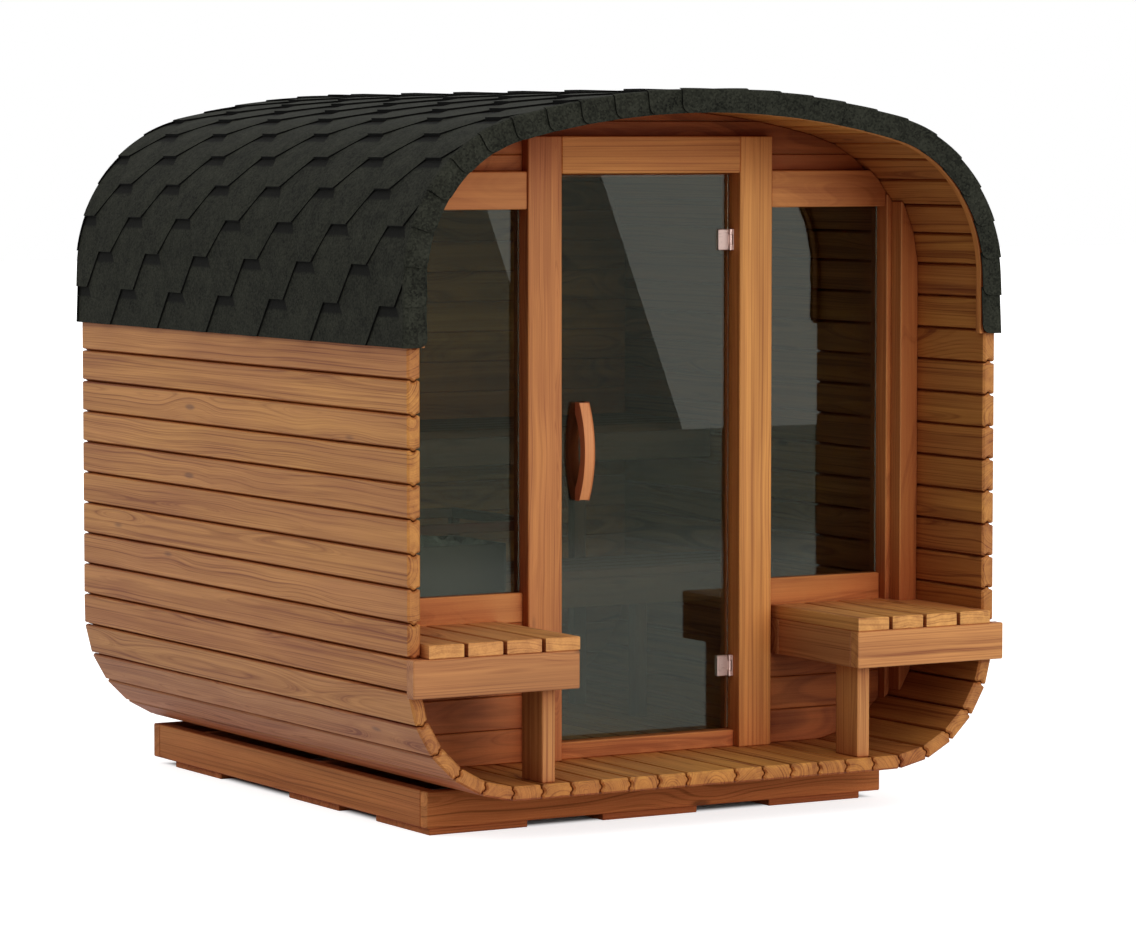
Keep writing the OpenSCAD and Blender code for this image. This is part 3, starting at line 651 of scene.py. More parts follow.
def joined(meshes):
    """One mesh that holds several, with their attributes and one material."""
    shape = bmesh.new()
    for mesh in meshes:
        shape.from_mesh(mesh)
    whole = meshes[0]
    shape.to_mesh(whole)
    shape.free()
    for mesh in meshes[1:]:
        bpy.data.meshes.remove(mesh)
    return whole


RING = ring_curve()
ROW = row_tree()


# ---------------------------------------------------------------- the stave shell

STAVE_BEVEL_W = 0.0065  # bevels along both faces, above a narrow slot at each joint
STAVE_BEVEL_T = 0.0050
STAVE_SLOT = 0.0030
STAVE_SLOT_T = 0.011
STAVE_END_EASE = 0.006
TONGUE = 0.0070         # how far the rounded tongue reaches into the next stave
STAVE_GAP = 0.0022


def stave_outline(width):
    """A stave's outline: bevelled faces, a rounded tongue and a matching groove."""
    half = 0.5 * STAVE_T - STAVE_SLOT_T
    marks = (-1.0, -0.62, -0.3, 0.0, 0.3, 0.62, 1.0)
    lips = ((0.0, STAVE_BEVEL_W), (STAVE_BEVEL_T, STAVE_SLOT))

    def side(x, inwards):
        bulge = [(x - inwards * STAVE_GAP + TONGUE * math.cos(m * math.pi / 2),
                  MID + m * half) for m in marks]
        low_lips = [(x - inwards * w, t) for t, w in lips]
        high_lips = [(x - inwards * w, STAVE_T - t) for t, w in reversed(lips)]
        return low_lips + bulge + high_lips

    return side(width, 1) + side(0.0, -1)[::-1]


def staves(width, count, first_s, seed, lightness=0.0):
    """A stretch of equal staves round the ring, as a mesh."""
    boards = Boards()
    # The row shifts each copy's grain, so the pattern itself starts near zero
    boards.add(stave_outline(width), "xz", FRONT_Y, BACK_Y, "yxz", ease=0.0,
               ends=STAVE_END_EASE, log=(0.0001, 0.0, 0.0))
    return row(boards, stave_wood, count, (first_s, 0, 0), (width, 0, 0), True, seed,
               lightness)


def stave_shell():
    shoulder = WALL_STAVES + SHOULDER_STAVES
    shoulder_s = JOINT_S + shoulder * TOP_W
    wall_top_s = JOINT_S + WALL_STAVES * TOP_W
    crown_count = 2 * (HALF_TOP_STAVES - shoulder) + 1
    ring = 2 * TOP_S
    floor = joined([staves(KEY_W, 1, -KEY_W / 2, 1, 1.5),
                    staves(FLOOR_W, 5, KEY_W / 2, 2, 1.5),
                    staves(FLOOR_W, 5, -FLOOR_END, 3, 1.5)])
    stretches = (
        ("floor_boards", "floor_staves", floor),
        ("right_bottom_corner", "right_bottom_staves",
         staves(CORNER_W, CORNER_STAVES, FLOOR_END, 4)),
        ("left_bottom_corner", "left_bottom_staves",
         staves(CORNER_W, CORNER_STAVES, ring - JOINT_S, 5)),
        ("right_wall", "right_wall_staves", staves(TOP_W, WALL_STAVES, JOINT_S, 6)),
        ("left_wall", "left_wall_staves", staves(TOP_W, WALL_STAVES, ring - wall_top_s, 7)),
        ("right_shoulder", "right_shoulder_staves",
         staves(TOP_W, SHOULDER_STAVES, wall_top_s, 8)),
        ("left_shoulder", "left_shoulder_staves",
         staves(TOP_W, SHOULDER_STAVES, ring - shoulder_s, 9)),
        # The ceiling's lightness of 5.0 is painted light, lifting the shade under the roof
        ("ceiling", "crown_staves", staves(TOP_W, crown_count, shoulder_s, 10, 5.0)),
    )
    for name, node, mesh in stretches:
        piece_of(name, mesh, None, (node,))


stave_shell()


# ---------------------------------------------------------------- the roof

OUTER = STAVE_T + SHINGLE_T
COURSES = 13
SIDE_COURSES = 7        # these start below the crown
TAB_PITCH = 0.3545
TAB_FLAT = 0.096        # straight bottom of each tab
NOTCH_FLAT = 0.104      # straight top of each notch
TAB_SHIFT = 0.0975      # from the front ends to the middle of the eave's first notch
ROOF_LAP = 0.001        # how far the sheets reach past the staves' ends
TRIM_LAP = 0.015
TRIM_FRONT_Y = low("front_roof_trim").y
TRIM_BACK_Y = high("back_roof_trim").y
LATH_GAP, LATH_EASE = 0.0005, 0.002
LATH_HEART = 0.05       # from the lath to the heart of its log
FOLD_R = 0.010          # rounding where the flaps fold over the edge
FLAP_ROUND = 0.028
SHEET_SHARE = 0.33      # a sheet's part of the roof's thickness, which is three deep
FLAP_SHARE = 0.22       # the same for the folded flaps, which gape more


def roof_s(u):
    """Length along the ring where the roof's outside has come u from the eave."""
    s = EAVE_S
    for end, radius in ((SHOULDER_S, 1e9), (CROWN_S, SHOULDER_R), (TOP_S, CROWN_R)):
        spread = (radius + OUTER) / (radius + MID)
        if u <= (end - s) * spread:
            return s + u / spread
        u -= (end - s) * spread
        s = end
    return s + u


ROOF_LENGTH = (SHOULDER_S - EAVE_S
               + (CROWN_S - SHOULDER_S) * (SHOULDER_R + OUTER) / (SHOULDER_R + MID)
               + (TOP_S - CROWN_S) * (CROWN_R + OUTER) / (CROWN_R + MID))
EXPOSURE = ROOF_LENGTH / COURSES
COURSE_S = [roof_s(k * EXPOSURE) for k in range(COURSES)] + [TOP_S]


def course_s(k):
    """Where course k starts; below the eave and above the crown it goes on evenly."""
    if 0 <= k <= COURSES:
        return COURSE_S[k]
    return COURSE_S[0] + k * EXPOSURE if k < 0 else TOP_S + (k - COURSES) * EXPOSURE


class Sheets:
    """Felt sheets laid flat as length along the ring, Y, and distance out. Each
    corner keeps its place on the tab and whether it is on a cut edge."""

    def __init__(self):
        self.points = []
        self.faces = []
        self.tab = []

    def add(self, columns, end_s, start_s, reach, thick, rise, rows=9, face_tone=0):
        """A sheet of columns (lower end, y, out, facing y, facing out, place on tab)
        up to end_s. It stands off by rise at start_s and by nothing at reach on."""
        across = len(columns)
        first = len(self.points)
        places = []
        for level in (0, thick):
            for i in range(rows + 1):
                for low_s, y, out, ny, nout, x in columns:
                    s = low_s + (end_s - low_s) * i / rows
                    off = rise * max(0.0, 1 - (s - start_s) / reach) + level
                    self.points.append((s, y + ny * off, out + nout * off))
                    places.append((x, (s - start_s) / (0.5 * reach)))

        def under(i, j):
            return first + i * across + j

        def over(i, j):
            return under(i, j) + (rows + 1) * across

        def face(corners, edge):
            self.faces.append(corners)
            self.tab += [(*places[c - first], edge) for c in corners]

        for i in range(rows):
            for j in range(across - 1):
                face((over(i, j), over(i, j + 1), over(i + 1, j + 1), over(i + 1, j)), face_tone)
                face((under(i, j), under(i + 1, j), under(i + 1, j + 1), under(i, j + 1)), 1)
            for j in (0, across - 1):
                face((under(i, j), over(i, j), over(i + 1, j), under(i + 1, j)), 1)
        for j in range(across - 1):
            for i in (0, rows):
                face((under(i, j), under(i, j + 1), over(i, j + 1), over(i, j)), 1)

    def mirrored(self):
        """The same sheets on the other side of the roof."""
        other = Sheets()
        other.points = [(2 * TOP_S - s, y, out) for s, y, out in self.points]
        other.faces = self.faces
        other.tab = self.tab
        return other

    def bent(self):
        """The sheets bent round the ring, as a mesh."""
        mesh = mesh_of("sheets", self.points, self.faces, {"tab": self.tab}, "CORNER")
        made = bent_row(mesh, shingle)
        made.shade_smooth()
        made.set_sharp_from_angle(angle=math.radians(40))
        return made


def tab_columns(k, low_y, high_y):
    """Columns of course k between two places along Y: where each starts, and
    where it is on its tab."""
    shift = FRONT_Y + TAB_SHIFT + (TAB_PITCH / 2 if k % 2 == 0 else 0)
    bottom, top = course_s(k), course_s(k + 1)
    marks = ((-0.5, top), (-0.5 + 0.5 * NOTCH_FLAT / TAB_PITCH, top),
             (-0.5 * TAB_FLAT / TAB_PITCH, bottom), (0, bottom))
    line = [(shift + (n + x) * TAB_PITCH, s, x)
            for n in range(-2, 9)
            for x, s in marks + tuple((-x, s) for x, s in reversed(marks[1:3]))]
    made = []
    for (y0, s0, x0), (y1, s1, x1) in zip(line, line[1:]):
        x1 = x1 + 1 if x1 < x0 else x1
        for y in (low_y, high_y):
            if y0 <= y < y1:
                t = (y - y0) / (y1 - y0)
                made.append((y, s0 + t * (s1 - s0), x0 + t * (x1 - x0)))
        if low_y < y1 < high_y:
            made.append((y1, s1, x1))
    return sorted(made)


def roof_sheets(first, last):
    """Courses of one half of the roof, with a straight strip under the eave's."""
    low_y, high_y = FRONT_Y - ROOF_LAP, BACK_Y + ROOF_LAP
    thick = SHEET_SHARE * SHINGLE_T
    rise = SHINGLE_T - thick
    sheets = Sheets()
    if first == 0:
        starter = [(EAVE_S, y, STAVE_T, 0, 1, 0.5)
                   for y in (low_y, 0.5 * FRONT_Y, 0, 0.5 * BACK_Y, high_y)]
        sheets.add(starter, course_s(1), course_s(-1), 2 * EXPOSURE, thick, rise, 4)
    for k in range(first, last):
        columns = [(s, y, STAVE_T, 0, 1, x) for y, s, x in tab_columns(k, low_y, high_y)]
        start, end = course_s(k), course_s(k + 2)
        sheets.add(columns, min(end, TOP_S), start, end - start, thick, rise)
    return sheets


def trim_flaps(face_y, facing, thickness):
    """The flaps of one half that fold over the ends of the staves, lowest first."""
    thick = FLAP_SHARE * thickness
    sheets = Sheets()
    corner = OUTER - FOLD_R
    depth = corner + TRIM_LAP
    # Rounded lower inner corner, straight middle, then the fold at the outer edge
    inner = [FLAP_ROUND * share for share in (0.0, 0.04, 0.16, 0.38, 0.66, 1.0)]
    bends = [math.radians(angle) for angle in (30, 60, 90)]
    for k in range(COURSES):
        start, reach = course_s(k), course_s(k + 2) - course_s(k)
        columns = []
        for d in inner + [0.7 * depth, depth]:
            lag = max(0.0, FLAP_ROUND - d)
            low_s = start + FLAP_ROUND - math.sqrt(FLAP_ROUND ** 2 - lag ** 2)
            columns.append((low_s, face_y, d - TRIM_LAP, facing, 0, 0.5 * d / depth))
        for bend in bends:
            columns.append((start, face_y, corner, facing * math.cos(bend),
                            math.sin(bend) * FOLD_R / thickness, 0.5))
        end = min(start + 0.62 * reach, TOP_S)
        # The -1 marks the flaps' faces for the painted light in the shingle's colour
        sheets.add(columns, end, start, reach, thick, thickness - thick, 6, -1)
    return sheets


def roof():
    low_half, high_half = roof_sheets(0, SIDE_COURSES), roof_sheets(SIDE_COURSES, COURSES)
    crown = joined([high_half.bent(), high_half.mirrored().bent()])
    for name, mesh in (("right", low_half.bent()), ("left", low_half.mirrored().bent()),
                       ("crown", crown)):
        piece_of(name + "_shingles", mesh, None, (name + "_roof_shingles",))
    for name, face_y, facing, thickness in (
            ("front", FRONT_Y, -1, FRONT_Y - TRIM_FRONT_Y),
            ("back", BACK_Y, 1, TRIM_BACK_Y - BACK_Y)):
        flaps = trim_flaps(face_y, facing, thickness)
        both = joined([flaps.bent(), flaps.mirrored().bent()])
        piece_of(name + "_roof_flaps", both, None, (name + "_roof_trim",))


def arch_lath():
    """A lath bent along the roof's inner edge, which hides the folded flaps."""
    deep = high("front_arch_lath").y - FRONT_Y
    profile = eased(rectangle(FRONT_Y + LATH_GAP, FRONT_Y + deep, -TRIM_LAP, -LATH_GAP),
                    LATH_EASE)
    steps = 160
    points, faces, grain = [], [], []
    for i in range(steps + 1):
        s = EAVE_S + 2 * (TOP_S - EAVE_S) * i / steps
        points += [(s, y, out) for y, out in profile]
        grain += [(s, y - FRONT_Y, out + LATH_HEART) for y, out in profile]
    n = len(profile)
    for i in range(steps):
        for j in range(n):
            a, b = i * n + j, i * n + (j + 1) % n
            faces.append((a, b, b + n, a + n))
    faces += [tuple(reversed(range(n))), tuple(steps * n + j for j in range(n))]
    mesh = mesh_of("arch_lath", points, faces, {"grain": grain})
    piece_of("arch_lath", bent_row(mesh, frame_wood), None, ("front_arch_lath",))


roof()
arch_lath()


# ---------------------------------------------------------------- the front and back walls

ROOM = room_outline()
BOARD_PITCH = 0.1035
BOARD_GAP = 0.0012
BOARD_EASE = 0.0028
LOWEST_BOARD = 0.01
TONGUE_IN = 0.002
TONGUE_HALF_H, TONGUE_HALF_T = 0.006, 0.003
TONGUE_EASE = 0.0005
FRAME_EASE = 0.003
PANE_GAP = 0.0005


def in_room(x0, x1, z0, z1):
    return window_of(ROOM, x0, x1, z0, z1)


DOOR_LEFT, DOOR_RIGHT = low("door_sill").x, high("door_sill").x
POST_LEFT, POST_RIGHT = low("door_posts").x, high("door_posts").x
WINDOW_HALF = high("window_panes").x
BATTEN_X = ROOM_HALF - 0.066    # the battens' inner faces
STOP_T = 0.012
STOP_EASE = 0.0015
FIRST_JOINT = FLOOR_Z + 0.105
HEAD_JOINT = FLOOR_Z + 1.858    # under the row of boards notched round the door posts


def doorway():
    a, b = ends_of("door_posts")
    boxed_piece("door_frame_posts", "door_posts", frame_wood, FRAME_EASE, (
        (a, (DOOR_LEFT, b.y, b.z), "zxy", -1.2), ((DOOR_RIGHT, a.y, a.z), b, "zxy", 2.0)))
    # The head's tone of 2.0 is painted light against the shade of the roof above it
    for name, node, tone in (("door_head", "door_lintel", 2.0),
                             ("threshold", "door_sill", 0.0)):
        boxed_piece(name, node, frame_wood, FRAME_EASE,
                    ((low(node), high(node), "xzy", tone),))
    a, b = ends_of("door_stop")
    boxed_piece("door_stops", "door_stop", frame_wood, STOP_EASE, (
        (a, (a.x + STOP_T, b.y, b.z), "zxy"), ((b.x - STOP_T, a.y, a.z), b, "zxy"),
        ((a.x + STOP_T, a.y, b.z - STOP_T), (b.x - STOP_T, b.y, b.z), "xzy")))


def side_frames():
    """Window rails, and the uprights along the side walls, ended by the staves."""
    for name, node, tones in (("window_heads", "window_top_rails", (-0.5, 0.3)),
                              ("window_sills", "window_bottom_rails", (0.0, 1.0))):
        a, b = ends_of(node)
        boards = Boards()
        for x0, x1, tone in ((a.x, POST_LEFT, tones[0]), (POST_RIGHT, b.x, tones[1])):
            boards.add(in_room(x0, x1, a.z, b.z), "xz", a.y, b.y, "xzy", FRAME_EASE, tone=tone)
        timber_piece(name, boards, frame_wood, (node,))
    for name, node, inner in (("side_jambs", "wall_jambs", WINDOW_HALF),
                              ("porch_corner_battens", "porch_battens", BATTEN_X)):
        a, b = ends_of(node)
        boards = Boards()
        for x0, x1 in ((-ROOM_HALF, -inner), (inner, ROOM_HALF)):
            boards.add(in_room(x0, x1, FLOOR_Z, b.z + 0.1), "xz", a.y, b.y, "zxy", FRAME_EASE)
        timber_piece(name, boards, frame_wood, (node,))


def laid(boards, y0, y1, z0, z1, x0, x1, first_joint=None):
    """Boards laid level over one another to fill part of a wall."""
    joint = first_joint or z0 + BOARD_PITCH
    edges = [z0]
    while joint < z1 - LOWEST_BOARD:
        edges.append(joint)
        joint += BOARD_PITCH
    edges.append(z1)
    for a, b in zip(edges, edges[1:]):
        outline = in_room(x0, x1, a + BOARD_GAP / 2, b - BOARD_GAP / 2)
        boards.add(outline, "xz", y0, y1, "xzy", 0.0, BOARD_EASE)
    # Loose tongues close the joints
    middle = 0.5 * (y0 + y1)
    for joint in edges[1:-1]:
        tongue = in_room(x0 + TONGUE_IN, x1 - TONGUE_IN, joint - TONGUE_HALF_H,
                         joint + TONGUE_HALF_H)
        boards.add(tongue, "xz", middle - TONGUE_HALF_T, middle + TONGUE_HALF_T, "xzy",
                   0.0, TONGUE_EASE)


def walls():
    a, b = ends_of("lower_boards")
    boards = Boards()
    laid(boards, a.y, b.y, FLOOR_Z, b.z, a.x, POST_LEFT, FIRST_JOINT)
    laid(boards, a.y, b.y, FLOOR_Z, b.z, POST_RIGHT, b.x, FIRST_JOINT)
    timber_piece("lower_wall_boards", boards, board_wood, ("lower_boards",))

    a, b = ends_of("gable_boards")
    head = high("door_posts").z
    boards = Boards()
    joint = HEAD_JOINT
    laid(boards, a.y, b.y, a.z, joint, -WINDOW_HALF, POST_LEFT)
    laid(boards, a.y, b.y, a.z, joint, POST_RIGHT, WINDOW_HALF)
    notch = [(POST_LEFT, joint), (POST_LEFT, head), (POST_RIGHT, head), (POST_RIGHT, joint)]
    row_outline = in_room(-WINDOW_HALF, WINDOW_HALF, joint + BOARD_GAP / 2,
                          joint + BOARD_PITCH - BOARD_GAP / 2)
    corner = max(range(len(row_outline)),
                 key=lambda i: (-round(row_outline[i][1], 4), -row_outline[i][0]))
    notched = row_outline[:corner + 1] + notch + row_outline[corner + 1:]
    notched = [(x, max(z, joint + BOARD_GAP / 2)) for x, z in notched]
    boards.add(notched, "xz", a.y, b.y, "xzy", 0.0, BOARD_EASE)
    laid(boards, a.y, b.y, joint + BOARD_PITCH, b.z, -WINDOW_HALF, WINDOW_HALF)
    timber_piece("gable_wall_boards", boards, board_wood, ("gable_boards",))

    a, b = ends_of("back_wall")
    boards = Boards()
    laid(boards, a.y, b.y, FLOOR_Z, b.z, a.x, b.x, FIRST_JOINT)
    timber_piece("back_wall_boards", boards, stave_wood, ("back_wall",))


def panes():
    a, b = ends_of("window_panes")
    sheets = Boards()
    for x0, x1 in ((a.x, POST_LEFT), (POST_RIGHT, b.x)):
        sheets.add(in_room(x0 + PANE_GAP, x1 - PANE_GAP, a.z + PANE_GAP, b.z - PANE_GAP),
                   "xz", a.y, b.y, "xzy", 0.0, 0.0)
    timber_piece("window_glass", sheets, glass, ("window_panes",))


doorway()
side_frames()
walls()
panes()


# ---------------------------------------------------------------- the door

HINGE_H = 0.066
HINGE_HEIGHTS = (0.255, 1.592)
BARREL_R = 0.005
BARREL_GAP = 0.0006
PIN_R = 0.0025
LEAF_HALF_T = 0.0035    # the leaves between barrel and cheek, and barrel and plate
KNUCKLE_H = HINGE_H * 0.45
RUN_GAP = 0.001         # free play between knuckles, and between barrel and plate
BRIDGE_W = 0.02         # fills the pane's notch between the two cheeks
CHEEK_LAP, PLATE_LAP = 0.002, 0.001     # how deep the leaves run into cheek and plate
PLATE_REACH = 0.006
CHEEK_EASE, PLATE_EASE, LEAF_EASE = 0.0022, 0.0012, 0.0005
BAR_EASE, GLASS_EASE, HANDLE_EASE = 0.0006, 0.0008, 0.003
NOTCH_W, NOTCH_H = 0.028, 0.0396
HANDLE_LEN, HANDLE_T, HANDLE_FOOT = 0.298, 0.022, 0.030


def door_pane():
    a, b = ends_of("door_glass")
    marks = [(b.x, a.z)]
    for h in HINGE_HEIGHTS:
        z = FLOOR_Z + h
        marks += [(b.x, z - NOTCH_H / 2), (b.x - NOTCH_W, z - NOTCH_H / 2),
                  (b.x - NOTCH_W, z + NOTCH_H / 2), (b.x, z + NOTCH_H / 2)]
    outline = [(a.x, b.z), (a.x, a.z)] + marks + [(b.x, b.z)]
    pane = Boards()
    pane.add(outline, "xz", a.y, b.y, "xzy", 0.0, GLASS_EASE)
    timber_piece("door_pane", pane, glass, ("door_glass",), "door")


def round_bar(boards, x, y, z0, z1, radius):
    sides = 20
    ring = [(x + radius * math.cos(2 * math.pi * i / sides),
             y + radius * math.sin(2 * math.pi * i / sides)) for i in range(sides)]
    boards.add(ring, "xy", z0, z1, "zxy", 0.0, BAR_EASE)


def hinges():
    """Two glass hinges: clamped cheeks that turn on a plate screwed to the post."""
    a, b = ends_of("hinge_clamps")
    plate_end = high("hinge_plates")
    glass_a, glass_b = ends_of("door_glass")
    pin_x, pin_y = glass_b.x, a.y + BARREL_R
    cheek_x = pin_x - BARREL_R - BARREL_GAP
    clamps, plates = Boards(), Boards()
    for h in HINGE_HEIGHTS:
        z = FLOOR_Z + h
        z0, z1 = z - HINGE_H / 2, z + HINGE_H / 2
        clamps.box((a.x, pin_y, z0), (cheek_x, glass_a.y, z1), "zxy", CHEEK_EASE)
        clamps.box((a.x, glass_b.y, z0), (cheek_x, b.y, z1), "zxy", CHEEK_EASE)
        clamps.box((cheek_x - BRIDGE_W, glass_a.y, z - NOTCH_H / 2),
                   (cheek_x, glass_b.y, z + NOTCH_H / 2), "zxy", LEAF_EASE)
        clamps.box((cheek_x - CHEEK_LAP, pin_y, z - KNUCKLE_H / 2),
                   (pin_x, pin_y + LEAF_HALF_T, z + KNUCKLE_H / 2), "zxy", LEAF_EASE)
        round_bar(clamps, pin_x, pin_y, z - KNUCKLE_H / 2, z + KNUCKLE_H / 2, BARREL_R)
        plate_x = pin_x + BARREL_R + RUN_GAP
        plates.box((plate_x, pin_y - PLATE_REACH, z0), (plate_end.x, plate_end.y, z1), "zxy",
                   PLATE_EASE)
        round_bar(plates, pin_x, pin_y, z0, z1, PIN_R)
        tip = (HINGE_H - KNUCKLE_H) / 2 - RUN_GAP
        for foot in (z0, z1 - tip):
            round_bar(plates, pin_x, pin_y, foot, foot + tip, BARREL_R)
            plates.box((pin_x, pin_y - LEAF_HALF_T, foot),
                       (plate_x + PLATE_LAP, pin_y + LEAF_HALF_T, foot + tip), "zxy",
                       LEAF_EASE)
    timber_piece("glass_hinge_clamps", clamps, satin, ("hinge_clamps",), "door")
    timber_piece("glass_hinge_plates", plates, satin, ("hinge_plates",))


def bow(reach):
    """Outline of the handle's bow, in Z and distance off the glass."""
    steps = 24
    rise = reach - HANDLE_T
    half, inner = HANDLE_LEN / 2, HANDLE_LEN / 2 - HANDLE_FOOT

    def arc(span, top):
        radius = (span ** 2 + rise ** 2) / (2 * rise)
        zs = [span * (2 * i / steps - 1) for i in range(steps + 1)]
        return [(z, top - radius + math.sqrt(radius ** 2 - z ** 2)) for z in zs]

    outside = [(-half, 0.0)] + arc(half, reach) + [(half, 0.0)]
    return outside + arc(inner, rise)[::-1]


def handles():
    a, b = ends_of("door_handles")
    glass_a, glass_b = ends_of("door_glass")
    middle = (a.z + b.z) / 2
    boards = Boards()
    for face_y, facing in ((glass_a.y, -1), (glass_b.y, 1)):
        outline = [(face_y + facing * out, middle + z) for z, out in bow(glass_a.y - a.y)]
        boards.add(outline, "yz", a.x, b.x, "zxy", 0.0, HANDLE_EASE)
    timber_piece("door_bow_handles", boards, handle_wood, ("door_handles",),
                 "door")


door_pane()
hinges()
handles()


# ---------------------------------------------------------------- the porch benches

BENCH_EASE = 0.0028
SLAT_GAP = 0.014


def bench_slats(side, node, lightness):
    a, b = ends_of(node)
    edges = sorted((abs(a.x), abs(b.x)))
    count = 4
    width = (edges[1] - edges[0] - (count - 1) * SLAT_GAP) / count
    batten_y = low("porch_battens").y
    jamb_y = low("wall_jambs").y
    boards = Boards()
    for i in range(count):
        x0 = edges[0] + i * (width + SLAT_GAP)
        x1 = x0 + width
        outline = rectangle(x0, x1, a.y, b.y)
        if x1 > BATTEN_X:
            outline = [(x0, a.y), (x1, a.y), (x1, batten_y), (BATTEN_X, batten_y),
                       (BATTEN_X, jamb_y), (WINDOW_HALF, jamb_y), (WINDOW_HALF, b.y),
                       (x0, b.y)]
        outline = [(side * x, y) for x, y in outline]
        outline = outline if side > 0 else outline[::-1]
        tone = lightness + dice.uniform(-1, 1)
        boards.add(outline, "xy", a.z, b.z, "yxz", 0.0, BENCH_EASE, tone=tone)
    timber_piece(("right" if side > 0 else "left") + "_bench_top", boards, bench_wood,
                 (node,))


def both_benches(name, node, inner, outer, grain, tones=(0, 0)):
    """A pair of boards, one under each bench, whose inner and outer ends and tones
    are given for the left and the right bench."""
    a, b = ends_of(node)
    boxed_piece(name, node, bench_wood, BENCH_EASE, [
        ((min(x), a.y, a.z), (max(x), b.y, b.z), grain, tone)
        for *x, tone in zip(inner, outer, tones)])


def benches():
    bench_slats(1, "right_bench_slats", 2.2)
    bench_slats(-1, "left_bench_slats", 0.8)
    ends = (high("left_bench_slats").x, low("right_bench_slats").x)
    rail_t = FRONT_Y - low("bench_front_boards").y
    a, b = ends_of("bench_front_boards")
    both_benches("bench_fronts", "bench_front_boards", ends, (a.x, b.x), "xzy", (-5.0, -0.9))
    # The right side rail's tone of -4.0 is painted shade on its face in the porch's shadow
    both_benches("bench_sides", "bench_side_rails", ends,
                 (ends[0] - rail_t, ends[1] + rail_t), "yzx", (0, -4.0))
    both_benches("bench_backs", "bench_back_rails", ends, (-WINDOW_HALF, WINDOW_HALF), "xzy")
    a, b = ends_of("bench_legs")
    both_benches("bench_supports", "bench_legs", (a.x, b.x - rail_t),
                 (a.x + rail_t, b.x), "zyx")


benches()


# ---------------------------------------------------------------- the base

PAD_SIDE = 0.340
PAD_EASE = 0.002
MIDDLE_PAD_Y = low("base_cross_beams").y + 0.766


def base():
    a, b = ends_of("base_pads")
    pitch = (b.x - a.x - PAD_SIDE) / 2
    rows = (a.y, MIDDLE_PAD_Y - PAD_SIDE / 2, b.y - PAD_SIDE)
    places = [(a.x + i * pitch, y) for y in rows for i in range(3)]
    boxed_piece("foot_pads", "base_pads", base_wood, PAD_EASE, [
        ((x, y, 0.0), (x + PAD_SIDE, y + PAD_SIDE, b.z), "xyz") for x, y in places])

    a, b = ends_of("base_side_beams")
    beam = a.y - low("base_cross_beams").y
    boxed_piece("side_beams", "base_side_beams", base_wood, FRAME_EASE, [
        ((x, a.y, a.z), (x + beam, b.y, b.z), "yzx") for x in (a.x, b.x - beam)])

    a, b = ends_of("base_cross_beams")
    middles = [y + PAD_SIDE / 2 for y in rows[1:]]
    # The front beam's tone of 3.0 is painted light against the shade on it
    boxed_piece("cross_beams", "base_cross_beams", base_wood, FRAME_EASE, [
        (a, (b.x, a.y + beam, b.z), "xzy", 3.0), ((a.x, b.y - beam, a.z), b, "xzy")] + [
        ((a.x + beam, y - beam / 2, a.z), (b.x - beam, y + beam / 2, b.z), "xzy")
        for y in middles])


base()


# ---------------------------------------------------------------- the cabin

CABIN_EASE = 0.003
CABIN_GAP = 0.012
CABIN_RAIL_T = 0.028
CABIN_RAIL_H = 0.095
CABIN_LEG_W = 0.045
GUARD_BAR, GUARD_EASE = 0.030, 0.0025
STONE_R = 0.036
HEAP_IN = 0.09          # the heap of stones is this much narrower than the basket
HEAP_DEPTHS = (0.075, 0.028)
HEATER_EASE = 0.0015
RIB_COUNT, RIB_PITCH, RIB_T, RIB_H = 9, 0.035, 0.004, 0.012
RIB_IN = 0.03           # the ribs end this far in from the jacket's sides
RIB_FOOT = 0.05         # and start this far above its foot
RIB_SUNK = 0.001        # how deep they are set into the jacket, and their ease


def cabin_slats(name, node, count):
    """Level slats from side wall to side wall, as a row."""
    a, b = ends_of(node)
    width = (b.y - a.y - (count - 1) * CABIN_GAP) / count
    boards = Boards()
    boards.box((a.x, 0.0, a.z), (b.x, width, b.z), "xyz", CABIN_EASE)
    mesh = row(boards, cabin_wood, count, (0, a.y, 0), (0, width + CABIN_GAP, 0), seed=20)
    piece_of(name, mesh, None, (node,))


def cabin_frame(name, node):
    a, b = ends_of(node)
    rail_z = b.z - CABIN_RAIL_H
    y0, y1 = a.y + CABIN_RAIL_T, b.y - CABIN_RAIL_T
    boxes = [((a.x, y, rail_z), (b.x, y + CABIN_RAIL_T, b.z), "xzy") for y in (a.y, y1)]
    for x in (a.x / 2, b.x / 2):
        boxes += [((x - CABIN_RAIL_T / 2, y0, rail_z), (x + CABIN_RAIL_T / 2, y1, b.z), "yzx"),
                  ((x - CABIN_LEG_W / 2, y0, a.z),
                   (x + CABIN_LEG_W / 2, y0 + CABIN_LEG_W, rail_z), "zxy")]
    boxed_piece(name, node, cabin_wood, CABIN_EASE, boxes)


